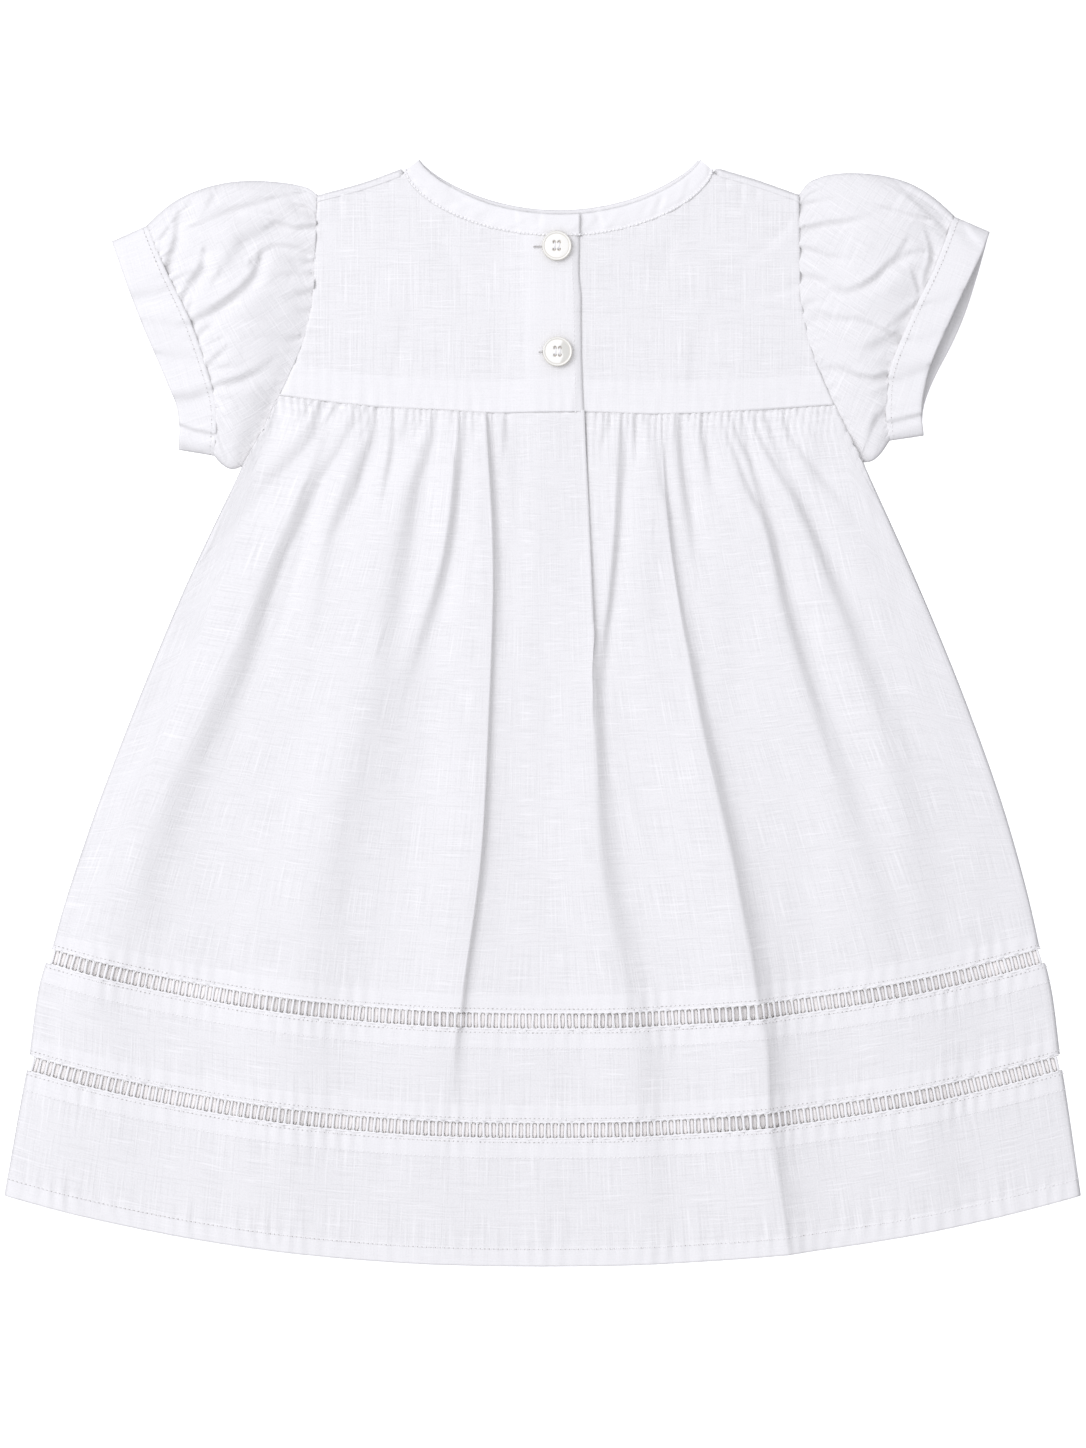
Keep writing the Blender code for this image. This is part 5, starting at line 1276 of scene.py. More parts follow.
def make_sleeve(name, armhole_points, seam_points, away, creases, look, seed):
    armhole, seam = curve(armhole_points), curve(seam_points)
    bulge_column = 1 if away < 0 else 2
    ring_shares = [row[0] for row in SLEEVE_RINGS]
    crown = smooth(ring_shares, [row[bulge_column] for row in SLEEVE_RINGS])
    puff = smooth(ring_shares, [row[3] for row in SLEEVE_RINGS])
    share_out = level_rows(*SLEEVE_SPANS)
    shares, lifts, upper = ring_steps()
    lap = np.full(len(shares), SLEEVE_LAP)
    if away < 0:
        lap *= 1.0 - ramp(shares, *LAP_ENDS)
    inner = armhole(shares) - away * np.stack([lap, np.zeros(len(lap))], axis=-1)
    outer = seam(shares) + (away * SEAM_HALF, 0.0)
    grid = blend(inner[None], outer[None], share_out[:, None, None])
    crown_lift = crown(share_out)[:, None] * (1.0 - shares[None, :]) ** CROWN_FADE
    drop = UNDERARM_DROP * np.sin(math.pi * share_out)[:, None] * shares[None, :] ** UNDERARM_FADE
    across, up = grid[..., 0], grid[..., 1] + crown_lift - drop
    height = puff(share_out)[:, None] * lifts[None, :]
    soft = np.sqrt(np.clip(lifts, 0.0, 1.0))[None, :] * upper[None, :]
    inner_walk = walk_along(inner)
    relief = CREASE_DEEPER * pleats(across, up, creases, CREASE_WIDER)
    relief = relief + sleeve_gathers(share_out[:, None], inner_walk[None, :], seed)
    relief = relief + 0.35 * SWELL(across / 9.0 + seed, up / 9.0)
    pillows = np.abs(RIPPLE(share_out[:, None] * 2.6 + seed, inner_walk[None, :] / 7.0)) ** 0.8 - 0.45
    near_ends = 0.3 + 0.7 * bell(share_out - 0.92, 0.3) + 0.6 * bell(share_out, 0.22)
    relief = relief + PILLOW_RISE * pillows * near_ends[:, None] * (1.0 - 0.55 * shares[None, :])
    height = height + relief * soft
    doubled = bell(share_out - 1.0, 0.06)[:, None] * 0.4
    if away < 0:
        across, up, height, doubled = across[::-1], up[::-1], height[::-1], doubled[::-1]
    height = np.maximum(height, np.where(upper > 0.0, SHELL, LEAST_HEIGHT)[None, :])
    return tube_of(name, across, up, height, look, SHELL, doubled, -away * SLEEVE_GRAIN_TURN)


def make_cuff(name, seam_points, edge_points, under_points, away, heights, creases, look, seed):
    seam, edge, under_edge = curve(seam_points), curve(edge_points), curve(under_points)
    share_out = np.linspace(0.0, 1.0, CUFF_RINGS)
    shares, lifts, upper = ring_steps()
    inner = seam(shares) - (away * CUFF_LAP, 0.0)
    outer = edge(shares)
    show = np.sin(math.pi * shares)[:, None] * (1.0 - upper)[:, None]
    outer = blend(outer, under_edge(shares), show)
    grid = blend(inner[None], outer[None], share_out[:, None, None])
    across, up = grid[..., 0], grid[..., 1]
    tall = smooth([row[0] for row in heights], [row[1] for row in heights])
    height = tall(share_out)[:, None] * lifts[None, :]
    walk = walk_along(inner)[None, :]
    wave = 0.30 * np.sin(walk / 4.1 + seed) + 0.22 * PUCKER(walk / 6.0, seed)
    stitched = 0.14 * np.sin(walk / 0.9 + 2.0 * PUCKER(walk / 7.0, seed + 2.0))
    beside_seam = stitched * bell(share_out - 0.15, 0.2)[:, None]
    roll = -0.5 * bell(share_out - 1.0, 0.06)[:, None] - 0.35 * bell(share_out, 0.04)[:, None]
    relief = wave + beside_seam + roll + pleats(across, up, creases)
    height = height + relief * (np.sqrt(lifts) * upper)[None, :]
    if away < 0:
        across, up, height = across[::-1], up[::-1], height[::-1]
    height = np.maximum(height, LEAST_HEIGHT)
    doubled = np.full((CUFF_RINGS, 1), CUFF_DOUBLED)
    piece = tube_of(name, across, up, height, look, CUFF_WALL, doubled, -away * CUFF_GRAIN_TURN)
    return piece, np.stack([across, up, height], axis=-1)


# Materials

# Yarn as noise: how far it wanders, how it is stretched along weft and warp, and where it is thick or thin
YARN_WANDER = 0.0013
WEFT_YARN = (60.0, 1700.0, 1.0)
WARP_YARN = (1700.0, 38.0, 1.0)
FINE_GRAIN = (1450.0, 1550.0, 1.0)
THICK_YARN = (0.57, 0.69)
THIN_YARN = (0.43, 0.31)
FIBRE = (3000.0, 3000.0, 3000.0)


class Reading:
    """A node's output whose arithmetic adds Math nodes."""

    def __init__(self, look, socket):
        self.look = look
        self.socket = socket

    def join(self, operation, first, second):
        return self.look.node("ShaderNodeMath", {"operation": operation}, {0: first, 1: second})

    def __add__(self, other):
        return self.join("ADD", self, other)

    def __radd__(self, other):
        return self.join("ADD", other, self)

    def __sub__(self, other):
        return self.join("SUBTRACT", self, other)

    def __rsub__(self, other):
        return self.join("SUBTRACT", other, self)

    def __mul__(self, other):
        return self.join("MULTIPLY", self, other)

    def __rmul__(self, other):
        return self.join("MULTIPLY", other, self)


class Look:
    """A material that is put together from nodes and expressions."""

    def __init__(self, name):
        self.material = bpy.data.materials.new(name)
        self.material.use_nodes = True
        self.nodes = self.material.node_tree.nodes
        self.links = self.material.node_tree.links
        self.shader = self.nodes["Principled BSDF"]

    def node(self, kind, settings, sockets, output=0):
        made = self.nodes.new(kind)
        for name, value in settings.items():
            setattr(made, name, value)
        for name, value in sockets.items():
            self.put(made.inputs[name], value)
        return Reading(self, made.outputs[output])

    def put(self, socket, value):
        if isinstance(value, Reading):
            self.links.new(value.socket, socket)
        else:
            socket.default_value = value

    def shade(self, **values):
        for name, value in values.items():
            self.put(self.shader.inputs[name.replace("_", " ")], value)

    def noise(self, place, size, detail=2.0, rough=0.5):
        sockets = {"Vector": place, "Scale": size, "Detail": detail, "Roughness": rough}
        return self.node("ShaderNodeTexNoise", {}, sockets)

    def stretched(self, place, scale):
        return self.node("ShaderNodeMapping", {}, {"Vector": place, "Scale": scale})

    def spread(self, value):
        return self.node("ShaderNodeCombineXYZ", {}, {"X": value, "Y": value, "Z": value})

    def step(self, value, low, high):
        return self.node(
            "ShaderNodeMapRange", {"interpolation_type": "SMOOTHSTEP"},
            {"Value": value, "From Min": low, "From Max": high, "To Min": 0.0, "To Max": 1.0},
        )

    def mix(self, share, first, second):
        return self.node(
            "ShaderNodeMix", {"data_type": "RGBA"}, {"Factor": share, 6: first, 7: second}, output=2
        )


def rgba(colour, share=1.0):
    return (*(value * share for value in colour), 1.0)


def slub_cotton(name):
    """White cotton woven from uneven yarn: thin streaks both ways, a soft grain, lighter where doubled."""
    look = Look(name)
    weave = look.node("ShaderNodeUVMap", {"uv_map": "weave"}, {})
    doubled = look.node("ShaderNodeAttribute", {"attribute_name": "doubled"}, {}, output="Fac")
    drift = look.spread(YARN_WANDER * look.noise(weave, 110.0, 1.0))
    bent = look.node("ShaderNodeVectorMath", {"operation": "ADD"}, {0: weave, 1: drift})
    weft = look.noise(look.stretched(bent, WEFT_YARN), 1.0, 1.0)
    warp = look.noise(look.stretched(weave, WARP_YARN), 1.0, 1.0)
    thick_weft, thick_warp = (look.step(yarn, *THICK_YARN) for yarn in (weft, warp))
    thin_weft, thin_warp = (look.step(yarn, *THIN_YARN) for yarn in (weft, warp))
    grain = look.noise(look.stretched(weave, FINE_GRAIN), 1.0, 2.0)
    cloudy = look.step(look.noise(weave, 70.0, 2.0), 0.35, 0.65)
    single = 1.0 - 0.7 * doubled
    raised = 0.5 * thick_weft + 0.45 * thick_warp - 0.4 * thin_weft - 0.35 * thin_warp
    relief = single * raised + 0.9 * grain
    plain = look.mix(doubled, rgba(CLOTH_COLOUR), rgba(DOUBLED_COLOUR))
    lighter = look.mix(doubled, rgba(CLOTH_COLOUR, 1.08), rgba(DOUBLED_COLOUR, 1.04))
    darker = look.mix(doubled, rgba(CLOTH_COLOUR, 0.92), rgba(DOUBLED_COLOUR, 0.95))
    light_share = single * (0.75 * thick_weft + 0.7 * thick_warp) * (0.6 + 0.4 * cloudy)
    dark_share = single * (0.5 * thin_weft + 0.5 * thin_warp) + 0.5 * look.step(grain, 0.62, 0.36)
    dark_share = dark_share + 0.1 * cloudy
    colour = look.mix(dark_share, plain, darker)
    colour = look.mix(light_share, colour, lighter)
    bump = look.node("ShaderNodeBump", {}, {"Strength": 0.4, "Distance": 0.00022, "Height": relief})
    look.shade(Base_Color=colour, Roughness=0.86 - 0.1 * thick_weft, Normal=bump)
    look.shade(Specular_IOR_Level=0.25, Sheen_Weight=0.12, Sheen_Roughness=0.5)
    return look.material


def cotton_thread(name, dye=THREAD_COLOUR):
    look = Look(name)
    place = look.node("ShaderNodeTexCoord", {}, {}, output="Object")
    fibre = look.noise(look.stretched(place, FIBRE), 1.0, 2.0)
    colour = look.mix(fibre, rgba(dye, 0.94), rgba(dye, 1.05))
    bump = look.node("ShaderNodeBump", {}, {"Strength": 0.4, "Distance": 0.0001, "Height": fibre})
    look.shade(Base_Color=colour, Roughness=0.8 - 0.1 * fibre, Normal=bump)
    look.shade(Specular_IOR_Level=0.3, Sheen_Weight=0.1)
    return look.material


def pearl(name):
    """Pearly off-white, with painted tan shade along the rim's inner step and side, a painted dark reflection
    crescent, painted grey-brown shade in the holes, and a polish.
    """
    look = Look(name)
    place = look.node("ShaderNodeTexCoord", {}, {}, output="Object")
    painted_rim_shade, hole, painted_dark_reflection = (
        look.node("ShaderNodeAttribute", {"attribute_name": kind}, {}, output="Fac")
        for kind in ("painted_rim_shade", "hole", "painted_dark_reflection")
    )
    drift = look.noise(look.stretched(place, (260.0, 160.0, 100.0)), 1.0, 3.0, 0.6)
    colour = look.mix(look.step(drift, 0.38, 0.66), rgba(PEARL_COLOUR), rgba(PEARL_CLOUD))
    # Painted dark reflection: a crescent over the right of the face
    colour = look.mix(painted_dark_reflection, colour, rgba(PEARL_PAINTED_REFLECTION))
    # Painted shade along the rim's inner step and the button's side
    colour = look.mix(0.8 * painted_rim_shade, colour, rgba(PEARL_PAINTED_RIM_SHADE))
    # Painted grey-brown shade on the walls and bottoms of the holes
    colour = look.mix(hole, colour, rgba(PEARL_PAINTED_HOLE_SHADE))
    bump = look.node("ShaderNodeBump", {}, {"Strength": 0.12, "Distance": 0.0003, "Height": drift})
    look.shade(Base_Color=colour, Roughness=0.28 + 0.12 * drift, Normal=bump)
    look.shade(Specular_IOR_Level=0.5, Coat_Weight=0.3, Coat_Roughness=0.15)
    return look.material


# Stitches, bars and other repeats

BEAD_SIDES = 6
BEAD_INPUTS = (
    ("Lines", "Geometry"), ("Pitch", "Float"), ("Length", "Float"), ("Width", "Float"), ("Height", "Float"),
    ("Turn", "Float"), ("Lean", "Float"), ("Unevenness", "Float"), ("Sides", "Int"), ("Seed", "Int"),
    ("Own Places", "Bool"), ("Finish", "Material"),
)
# Ladders: places along a rail, height of a bar and a rail, how far a bar reaches under both rails
RAIL_POINTS = 900
BAR_HEIGHT = 0.7
RAIL_HEIGHT = 0.55
BAR_UNDER_RAILS = 1.2
BACK_BAR_LIFT = -0.15
RAIL_LIFTS = (-0.1, -0.3)
SCALLOP = 0.096


def stitch_tree():
    """Beads of thread set evenly along lines, each turned to its line and a little uneven."""
    tree = bpy.data.node_groups.new("beads along lines", "GeometryNodeTree")
    keys = {}
    for name, kind in BEAD_INPUTS:
        made = tree.interface.new_socket(name, in_out="INPUT", socket_type="NodeSocket" + kind)
        keys[name] = made.identifier
    tree.interface.new_socket("Beads", in_out="OUTPUT", socket_type="NodeSocketGeometry")

    def add(kind, settings, sockets):
        node = tree.nodes.new(kind)
        for name, value in settings.items():
            setattr(node, name, value)
        for name, value in sockets.items():
            if isinstance(value, bpy.types.NodeSocket):
                tree.links.new(value, node.inputs[name])
            else:
                node.inputs[name].default_value = value
        return node

    def maths(operation, first, second):
        return add("ShaderNodeMath", {"operation": operation}, {0: first, 1: second}).outputs[0]

    def between(least, most, seed):
        sockets = {2: least, 3: most, "Seed": seed}
        return add("FunctionNodeRandomValue", {"data_type": "FLOAT"}, sockets).outputs[1]

    given = add("NodeGroupInput", {}, {}).outputs
    line = add("GeometryNodeMeshToCurve", {}, {"Mesh": given["Lines"]})
    even = add(
        "GeometryNodeResampleCurve", {"mode": "LENGTH"}, {"Curve": line.outputs[0], "Length": given["Pitch"]}
    )
    chosen = add(
        "GeometryNodeSwitch", {"input_type": "GEOMETRY"},
        {"Switch": given["Own Places"], "False": even.outputs[0], "True": line.outputs[0]},
    )
    tangent = add("GeometryNodeInputTangent", {}, {})
    aim = add("FunctionNodeAlignRotationToVector", {"axis": "X"}, {"Vector": tangent.outputs[0]})
    lean = between(maths("MULTIPLY", given["Lean"], -1.0), given["Lean"], given["Seed"])
    swing = add("ShaderNodeCombineXYZ", {}, {"Z": maths("ADD", given["Turn"], lean)})
    turn = add("FunctionNodeEulerToRotation", {}, {"Euler": swing.outputs[0]})
    turned = add(
        "FunctionNodeRotateRotation", {"rotation_space": "LOCAL"},
        {"Rotation": aim.outputs[0], "Rotate By": turn.outputs[0]},
    )
    bead = add("GeometryNodeMeshUVSphere", {}, {"Segments": given["Sides"], "Rings": 4, "Radius": 0.5})
    least = maths("SUBTRACT", 1.0, given["Unevenness"])
    most = maths("ADD", 1.0, given["Unevenness"])
    sizes = {}
    for number, (axis, name) in enumerate(zip("XYZ", ("Length", "Width", "Height"))):
        seed = maths("ADD", given["Seed"], float(number + 1))
        sizes[axis] = maths("MULTIPLY", given[name], between(least, most, seed))
    scale = add("ShaderNodeCombineXYZ", {}, sizes)
    placed = add(
        "GeometryNodeInstanceOnPoints", {},
        {
            "Points": chosen.outputs[0], "Instance": bead.outputs[0], "Rotation": turned.outputs[0],
            "Scale": scale.outputs[0],
        },
    )
    real = add("GeometryNodeRealizeInstances", {}, {"Geometry": placed.outputs[0]})
    smoothed = add("GeometryNodeSetShadeSmooth", {}, {0: real.outputs[0]})
    dyed = add("GeometryNodeSetMaterial", {}, {"Geometry": smoothed.outputs[0], "Material": given["Finish"]})
    result = tree.nodes.new("NodeGroupOutput")
    tree.links.new(dyed.outputs[0], result.inputs[0])
    return tree, keys


def later(line, distance):
    """The same line started a little later."""
    walked = walk_along(line)
    at = np.linspace(distance, walked[-1], len(line))
    return np.stack([np.interp(at, walked, line[:, k]) for k in range(3)], axis=-1)


def chain_mesh(name, lines):
    """Paths of places, in millimetres, as loose edges."""
    points, edges = [], []
    for line in lines:
        start = len(points)
        points.extend(tuple(place) for place in np.asarray(line) * MM)
        edges.extend((start + k, start + k + 1) for k in range(len(line) - 1))
    mesh = bpy.data.meshes.new(name)
    mesh.from_pydata(points, edges, [])
    return mesh


def beads(
    name, lines, tree_and_keys, finish, pitch, size, turn=0.0, lean=0.08, unevenness=0.15, seed=1,
    own_places=False,
):
    """A plain mesh of beads along lines, spaced by pitch or set on the lines' own places."""
    tree, keys = tree_and_keys
    guide = into_scene(name + "_guide", chain_mesh(name + "_guide", lines))
    modifier = guide.modifiers.new("beads", "NODES")
    modifier.node_group = tree
    values = {
        "Pitch": pitch * MM, "Length": size[0] * MM, "Width": size[1] * MM, "Height": size[2] * MM,
        "Turn": turn, "Lean": lean, "Unevenness": unevenness, "Sides": BEAD_SIDES, "Seed": seed,
        "Finish": finish, "Own Places": own_places,
    }
    for key, value in values.items():
        modifier[keys[key]] = value
    guide.update_tag()
    graph = bpy.context.evaluated_depsgraph_get()
    mesh = bpy.data.meshes.new_from_object(guide.evaluated_get(graph))
    mesh.name = name
    guide.modifiers.clear()
    bpy.data.objects.remove(guide, do_unlink=True)
    return into_scene(name, mesh)


def joined(name, pieces):
    """Several finished pieces as one."""
    chosen = {"active_object": pieces[0], "object": pieces[0], "selected_editable_objects": pieces}
    with bpy.context.temp_override(**chosen):
        bpy.ops.object.join()
    pieces[0].name = name
    pieces[0].data.name = name
    return pieces[0]


def cord_strip(name, path, widths, heights, look, sides=8):
    """A flattened rounded strip along a path: rails of the ladders and strands of thread on the buttons."""
    path = np.asarray(path, float)
    run = np.gradient(path, axis=0)
    run /= np.linalg.norm(run, axis=1)[:, None]
    across = np.stack([-run[:, 1], run[:, 0], np.zeros(len(run))], axis=-1)
    angles = 2.0 * math.pi * np.arange(sides) / sides
    run_across = np.cos(angles)[None, :, None] * np.asarray(widths)[:, None, None] / 2.0
    run_up = np.sin(angles)[None, :, None] * np.asarray(heights)[:, None, None] / 2.0
    ring = path[:, None, :] + across[:, None, :] * run_across + np.array([0.0, 0.0, 1.0]) * run_up
    row, step = np.meshgrid(np.arange(len(path) - 1), np.arange(sides), indexing="ij")
    after = (step + 1) % sides
    near, far = row * sides, (row + 1) * sides
    faces = np.stack([near + step, far + step, far + after, near + after], axis=-1)
    piece = mesh_of(name, ring.reshape(-1, 3), faces.reshape(-1, 4)[:, ::-1])
    piece.data.materials.append(look)
    return piece


def level_line(level, start, end, count, lift=0.0, front=False):
    """A line across the skirt at one level, laid on the back's or the front's cloth."""
    across = np.linspace(start, end, count)
    level_row = np.full(count, level)
    up = hem_arc(across, level_row)
    height, lean = skirt_height(across, up, level_row)
    if front:
        height = FRONT_TOP + FRONT_FOLLOWS * np.maximum(height - BACK_TOP, 0.0)
    else:
        height = side_roll(from_sides(across, level_row), height + STRIP_STEP)
    return np.stack([across + lean, up, height + lift], axis=-1)


def make_ladder(name, ladder, tree_and_keys, thread, front, seed):
    """Bars between two rails with small scalloped edges. The front's bars lie between the back's."""
    first, last, left, right, slots = ladder
    middle = (first + last) / 2.0
    pitch = (right - left - BAR_WIDTH) / slots
    inset = BAR_WIDTH / 2.0 + (pitch / 2.0 if front else 0.0)
    count = slots if front else slots + 1
    lift = FRONT_BAR_LIFT if front else BACK_BAR_LIFT
    bars_line = level_line(middle, left + inset, right - inset, count, lift, front)
    length = (last - first) * LEVEL_LENGTH + BAR_UNDER_RAILS
    bars = beads(
        name + "_bars", [bars_line], tree_and_keys, thread, pitch,
        (length, FRONT_BAR_WIDTH if front else BAR_WIDTH, BAR_HEIGHT), turn=math.pi / 2.0, lean=0.06,
        unevenness=0.12, seed=seed, own_places=True,
    )
    inward = 0.8 * RAIL_WIDTH / 2.0 / LEVEL_LENGTH
    walk = np.linspace(0.0, slots * 2.0 * math.pi, RAIL_POINTS)
    rails = []
    for number, (level, side) in enumerate(((first + inward, -1.0), (last - inward, 1.0))):
        path = level_line(level, left, right, RAIL_POINTS, RAIL_LIFTS[front], front)
        path[:, 1] += side * SCALLOP * np.cos(walk)
        swell = 1.15 + 0.18 * np.cos(walk + 0.4) + 0.12 * PUCKER(walk / 5.0, seed + number)
        heights = np.full(RAIL_POINTS, RAIL_HEIGHT)
        rails.append(cord_strip(f"{name}_rail_{number}", path, RAIL_WIDTH * swell, heights, thread))
    return joined(name, [bars] + rails)


# Buttons


def lathe(name, profile, segments, look):
    profile = np.asarray(profile, float)
    angles = 2.0 * math.pi * np.arange(segments) / segments
    points = np.stack(
        [
            profile[:, None, 0] * np.cos(angles)[None, :],
            profile[:, None, 0] * np.sin(angles)[None, :],
            np.broadcast_to(profile[:, None, 1], (len(profile), segments)),
        ],
        axis=-1,
    ).reshape(-1, 3)
    faces = []
    for ring in range(len(profile) - 1):
        for step in range(segments):
            after = (step + 1) % segments
            a, b = ring * segments + step, ring * segments + after
            faces.append((a, b, b + segments, a + segments))
    faces.append(tuple(reversed(range(segments))))
    faces.append(tuple(range((len(profile) - 1) * segments, len(profile) * segments)))
    mesh = bpy.data.meshes.new(name)
    mesh.from_pydata([tuple(point) for point in points * MM], [], faces)
    mesh.materials.append(look)
    mesh.shade_smooth()
    mesh.set_sharp_from_angle(angle=math.radians(38.0))
    return into_scene(name, mesh)


def button_profile():
    """Rounded back, narrow rim and an almost flat face, from the centre below to the centre above."""
    radius = BUTTON_ACROSS / 2.0
    profile = [(1.2, 0.0), (radius - 1.3, 0.05)]
    for angle in np.linspace(0.3, math.pi / 2, 5):
        out, up = BUTTON_BACK * math.sin(angle), BUTTON_BACK * math.cos(angle)
        profile.append((radius - BUTTON_BACK + out, BUTTON_BACK + 0.05 - up))
    top = BUTTON_THICK - BUTTON_RIM
    for angle in np.linspace(0.0, 0.8 * math.pi, 11):
        inward, up = BUTTON_RIM * (1.0 - math.cos(angle)), BUTTON_RIM * math.sin(angle)
        profile.append((radius - inward, top + up))
    for inward, drop in BUTTON_FACE:
        profile.append((radius - inward, BUTTON_THICK - drop))
    profile += [(r, BUTTON_THICK - BUTTON_MIDDLE_DROP) for r in BUTTON_MIDDLE]
    return profile


def mark_button(mesh, painted_reflection_strength):
    """Where the painted shade of the rim and the holes and the painted dark reflection crescent lie, for its
    finish.
    """
    places = np.empty(len(mesh.vertices) * 3, np.float32)
    mesh.vertices.foreach_get("co", places)
    places = places.reshape(-1, 3) / MM
    radius = np.hypot(places[:, 0], places[:, 1])
    # Painted shade: a line at the rim's inner step, and the button's side
    painted_rim_shade = bell(radius - BUTTON_ACROSS / 2.0 + 0.96, 0.13) * (places[:, 2] > 1.5)
    painted_rim_shade = np.maximum(painted_rim_shade, bell(radius - BUTTON_ACROSS / 2.0, 0.3) * 0.8)
    # Painted shade inside the holes
    hole = (places[:, 2] < BUTTON_THICK - 0.4) & (radius < 2.9) & (places[:, 2] > 0.3)
    # Painted dark reflection: a crescent over the right of the face, inside the rim
    side = ramp(places[:, 0] + 0.5 * np.sin(places[:, 1]), 1.2, 2.0) * (radius < BUTTON_ACROSS / 2.0 - 1.1)
    for name, values in (("painted_rim_shade", painted_rim_shade), ("hole", hole), ("painted_dark_reflection", side * painted_reflection_strength)):
        layer = mesh.attributes.new(name, "FLOAT", "POINT")
        layer.data.foreach_set("value", np.asarray(values, np.float32))


def drilled(disc, look):
    """The button's mesh with its four holes cut."""
    radius = BUTTON_HOLE / 2.0
    hole = [(radius, BUTTON_THICK - BUTTON_HOLE_DEEP), (radius, BUTTON_THICK + 1.0)]
    spread_across, spread_up = BUTTON_HOLE_SPREAD
    cutters = []
    for side in (-1, 1):
        for end in (-1, 1):
            cutter = lathe("hole", hole, 20, look)
            cutter.location = (side * spread_across * MM, end * spread_up * MM, 0.0)
            cutters.append(cutter)
            cut = disc.modifiers.new("hole", "BOOLEAN")
            cut.operation = "DIFFERENCE"
            cut.solver = "EXACT"
            cut.object = cutter
    bpy.context.view_layer.update()
    graph = bpy.context.evaluated_depsgraph_get()
    mesh = bpy.data.meshes.new_from_object(disc.evaluated_get(graph))
    disc.modifiers.clear()
    for cutter in cutters:
        bpy.data.objects.remove(cutter, do_unlink=True)
    return mesh


def sewn_on(name, across, up, thread):
    """Two bundles of thread over the button's face, from hole to hole."""
    spread_across, spread_up = BUTTON_HOLE_SPREAD
    share = np.linspace(0.0, 1.0, STRAND_POINTS)
    y = up + blend(-spread_up - 0.1, spread_up + 0.1, share)
    arch = BUTTON_REST + BUTTON_THICK - STRAND_SUNK + STRAND_ARCH * np.sin(share * math.pi) ** 0.5
    widths = np.full(STRAND_POINTS, STRAND_WIDE)
    heights = np.full(STRAND_POINTS, STRAND_HIGH)
    strands = []
    for side in (-1, 1):
        for offset in STRAND_OFFSETS:
            x = across + side * (spread_across - 0.1) + offset + 0.06 * np.sin(share * 5.0 + offset * 9.0)
            path = np.stack([x, y, arch - 0.1 * abs(offset)], axis=-1)
            strands.append(cord_strip(f"{name}_strand", path, widths, heights, thread))
    return joined(name + "_thread", strands)


def make_buttons(look, thread):
    pieces = []
    for name, across, up, painted_reflection_strength in BUTTONS:
        button = lathe(name + "_disc", button_profile(), 64, look)
        mesh = drilled(button, look)
        mark_button(mesh, painted_reflection_strength)
        mesh.transform(Matrix.Translation((across * MM, up * MM, BUTTON_REST * MM)))
        button.data = mesh
        mesh.name = name + "_disc"
        pieces.append((button, sewn_on(name, across, up, thread)))
    return pieces


# Room: floor, light, camera

VIEW_CENTRE = (0.2, -4.8)
VIEW_TALL = 579.2
VIEW_DISTANCE = 2000.0
SENSOR = 36.0
FLOOR_HALF = 8.0
FLOOR_COLOUR = (0.86, 0.86, 0.865)
FLOOR_GLOW = 0.75
LIGHT_COLOUR = (0.931, 0.935, 1.0)
SKY_STRENGTH = 0.98
SKY_LOW = 0.10
SKY_RISE = (-0.05, 0.45)
SKY_SIDE = (-0.26, 0.16)
KEY_ENERGY = 9.0
KEY_SIZE = 0.8
KEY_PLACE = (-0.80, 0.50, 1.30)


def make_floor():
    mesh = bpy.data.meshes.new("floor")
    corners = [(x * FLOOR_HALF, y * FLOOR_HALF, 0) for x, y in ((-1, -1), (1, -1), (1, 1), (-1, 1))]
    mesh.from_pydata(corners, [], [(0, 1, 2, 3)])
    floor = into_scene("floor", mesh)
    look = Look("pale floor")
    look.shade(Base_Color=rgba(FLOOR_COLOUR), Roughness=0.95, Specular_IOR_Level=0.1)
    look.shade(Emission_Color=(1.0, 1.0, 1.0, 1.0), Emission_Strength=FLOOR_GLOW)
    mesh.materials.append(look.material)
    floor.visible_diffuse = False


def make_light():
    """A soft sky, dim near the horizon and brighter on one side, and a soft key light."""
    world = bpy.data.worlds.new("studio")
    world.use_nodes = True
    nodes, links = world.node_tree.nodes, world.node_tree.links
    sky = nodes["Background"]
    aim = nodes.new("ShaderNodeTexCoord")
    parts = nodes.new("ShaderNodeSeparateXYZ")
    links.new(aim.outputs["Generated"], parts.inputs[0])
    rise = nodes.new("ShaderNodeMapRange")
    rise.interpolation_type = "SMOOTHSTEP"
    for name, value in {
        "From Min": SKY_RISE[0], "From Max": SKY_RISE[1], "To Min": SKY_LOW, "To Max": SKY_STRENGTH,
    }.items():
        rise.inputs[name].default_value = value
    links.new(parts.outputs["Z"], rise.inputs["Value"])
    side = nodes.new("ShaderNodeVectorMath")
    side.operation = "DOT_PRODUCT"
    side.inputs[1].default_value = (*SKY_SIDE, 0.0)
    links.new(aim.outputs["Generated"], side.inputs[0])
    uneven = nodes.new("ShaderNodeMath")
    uneven.operation = "MULTIPLY_ADD"
    links.new(side.outputs["Value"], uneven.inputs[0])
    links.new(rise.outputs["Result"], uneven.inputs[1])
    links.new(rise.outputs["Result"], uneven.inputs[2])
    sky.inputs["Color"].default_value = (*LIGHT_COLOUR, 1.0)
    links.new(uneven.outputs[0], sky.inputs["Strength"])
    bpy.context.scene.world = world
    lamp = bpy.data.lights.new("key", "AREA")
    lamp.energy = KEY_ENERGY
    lamp.color = LIGHT_COLOUR
    lamp.size = KEY_SIZE
    key = into_scene("key", lamp)
    key.location = KEY_PLACE
    aim = np.array(KEY_PLACE)
    yaw = math.atan2(aim[1], aim[0])
    tilt = math.atan2(math.hypot(aim[0], aim[1]), aim[2])
    key.rotation_euler = (0.0, tilt, yaw)


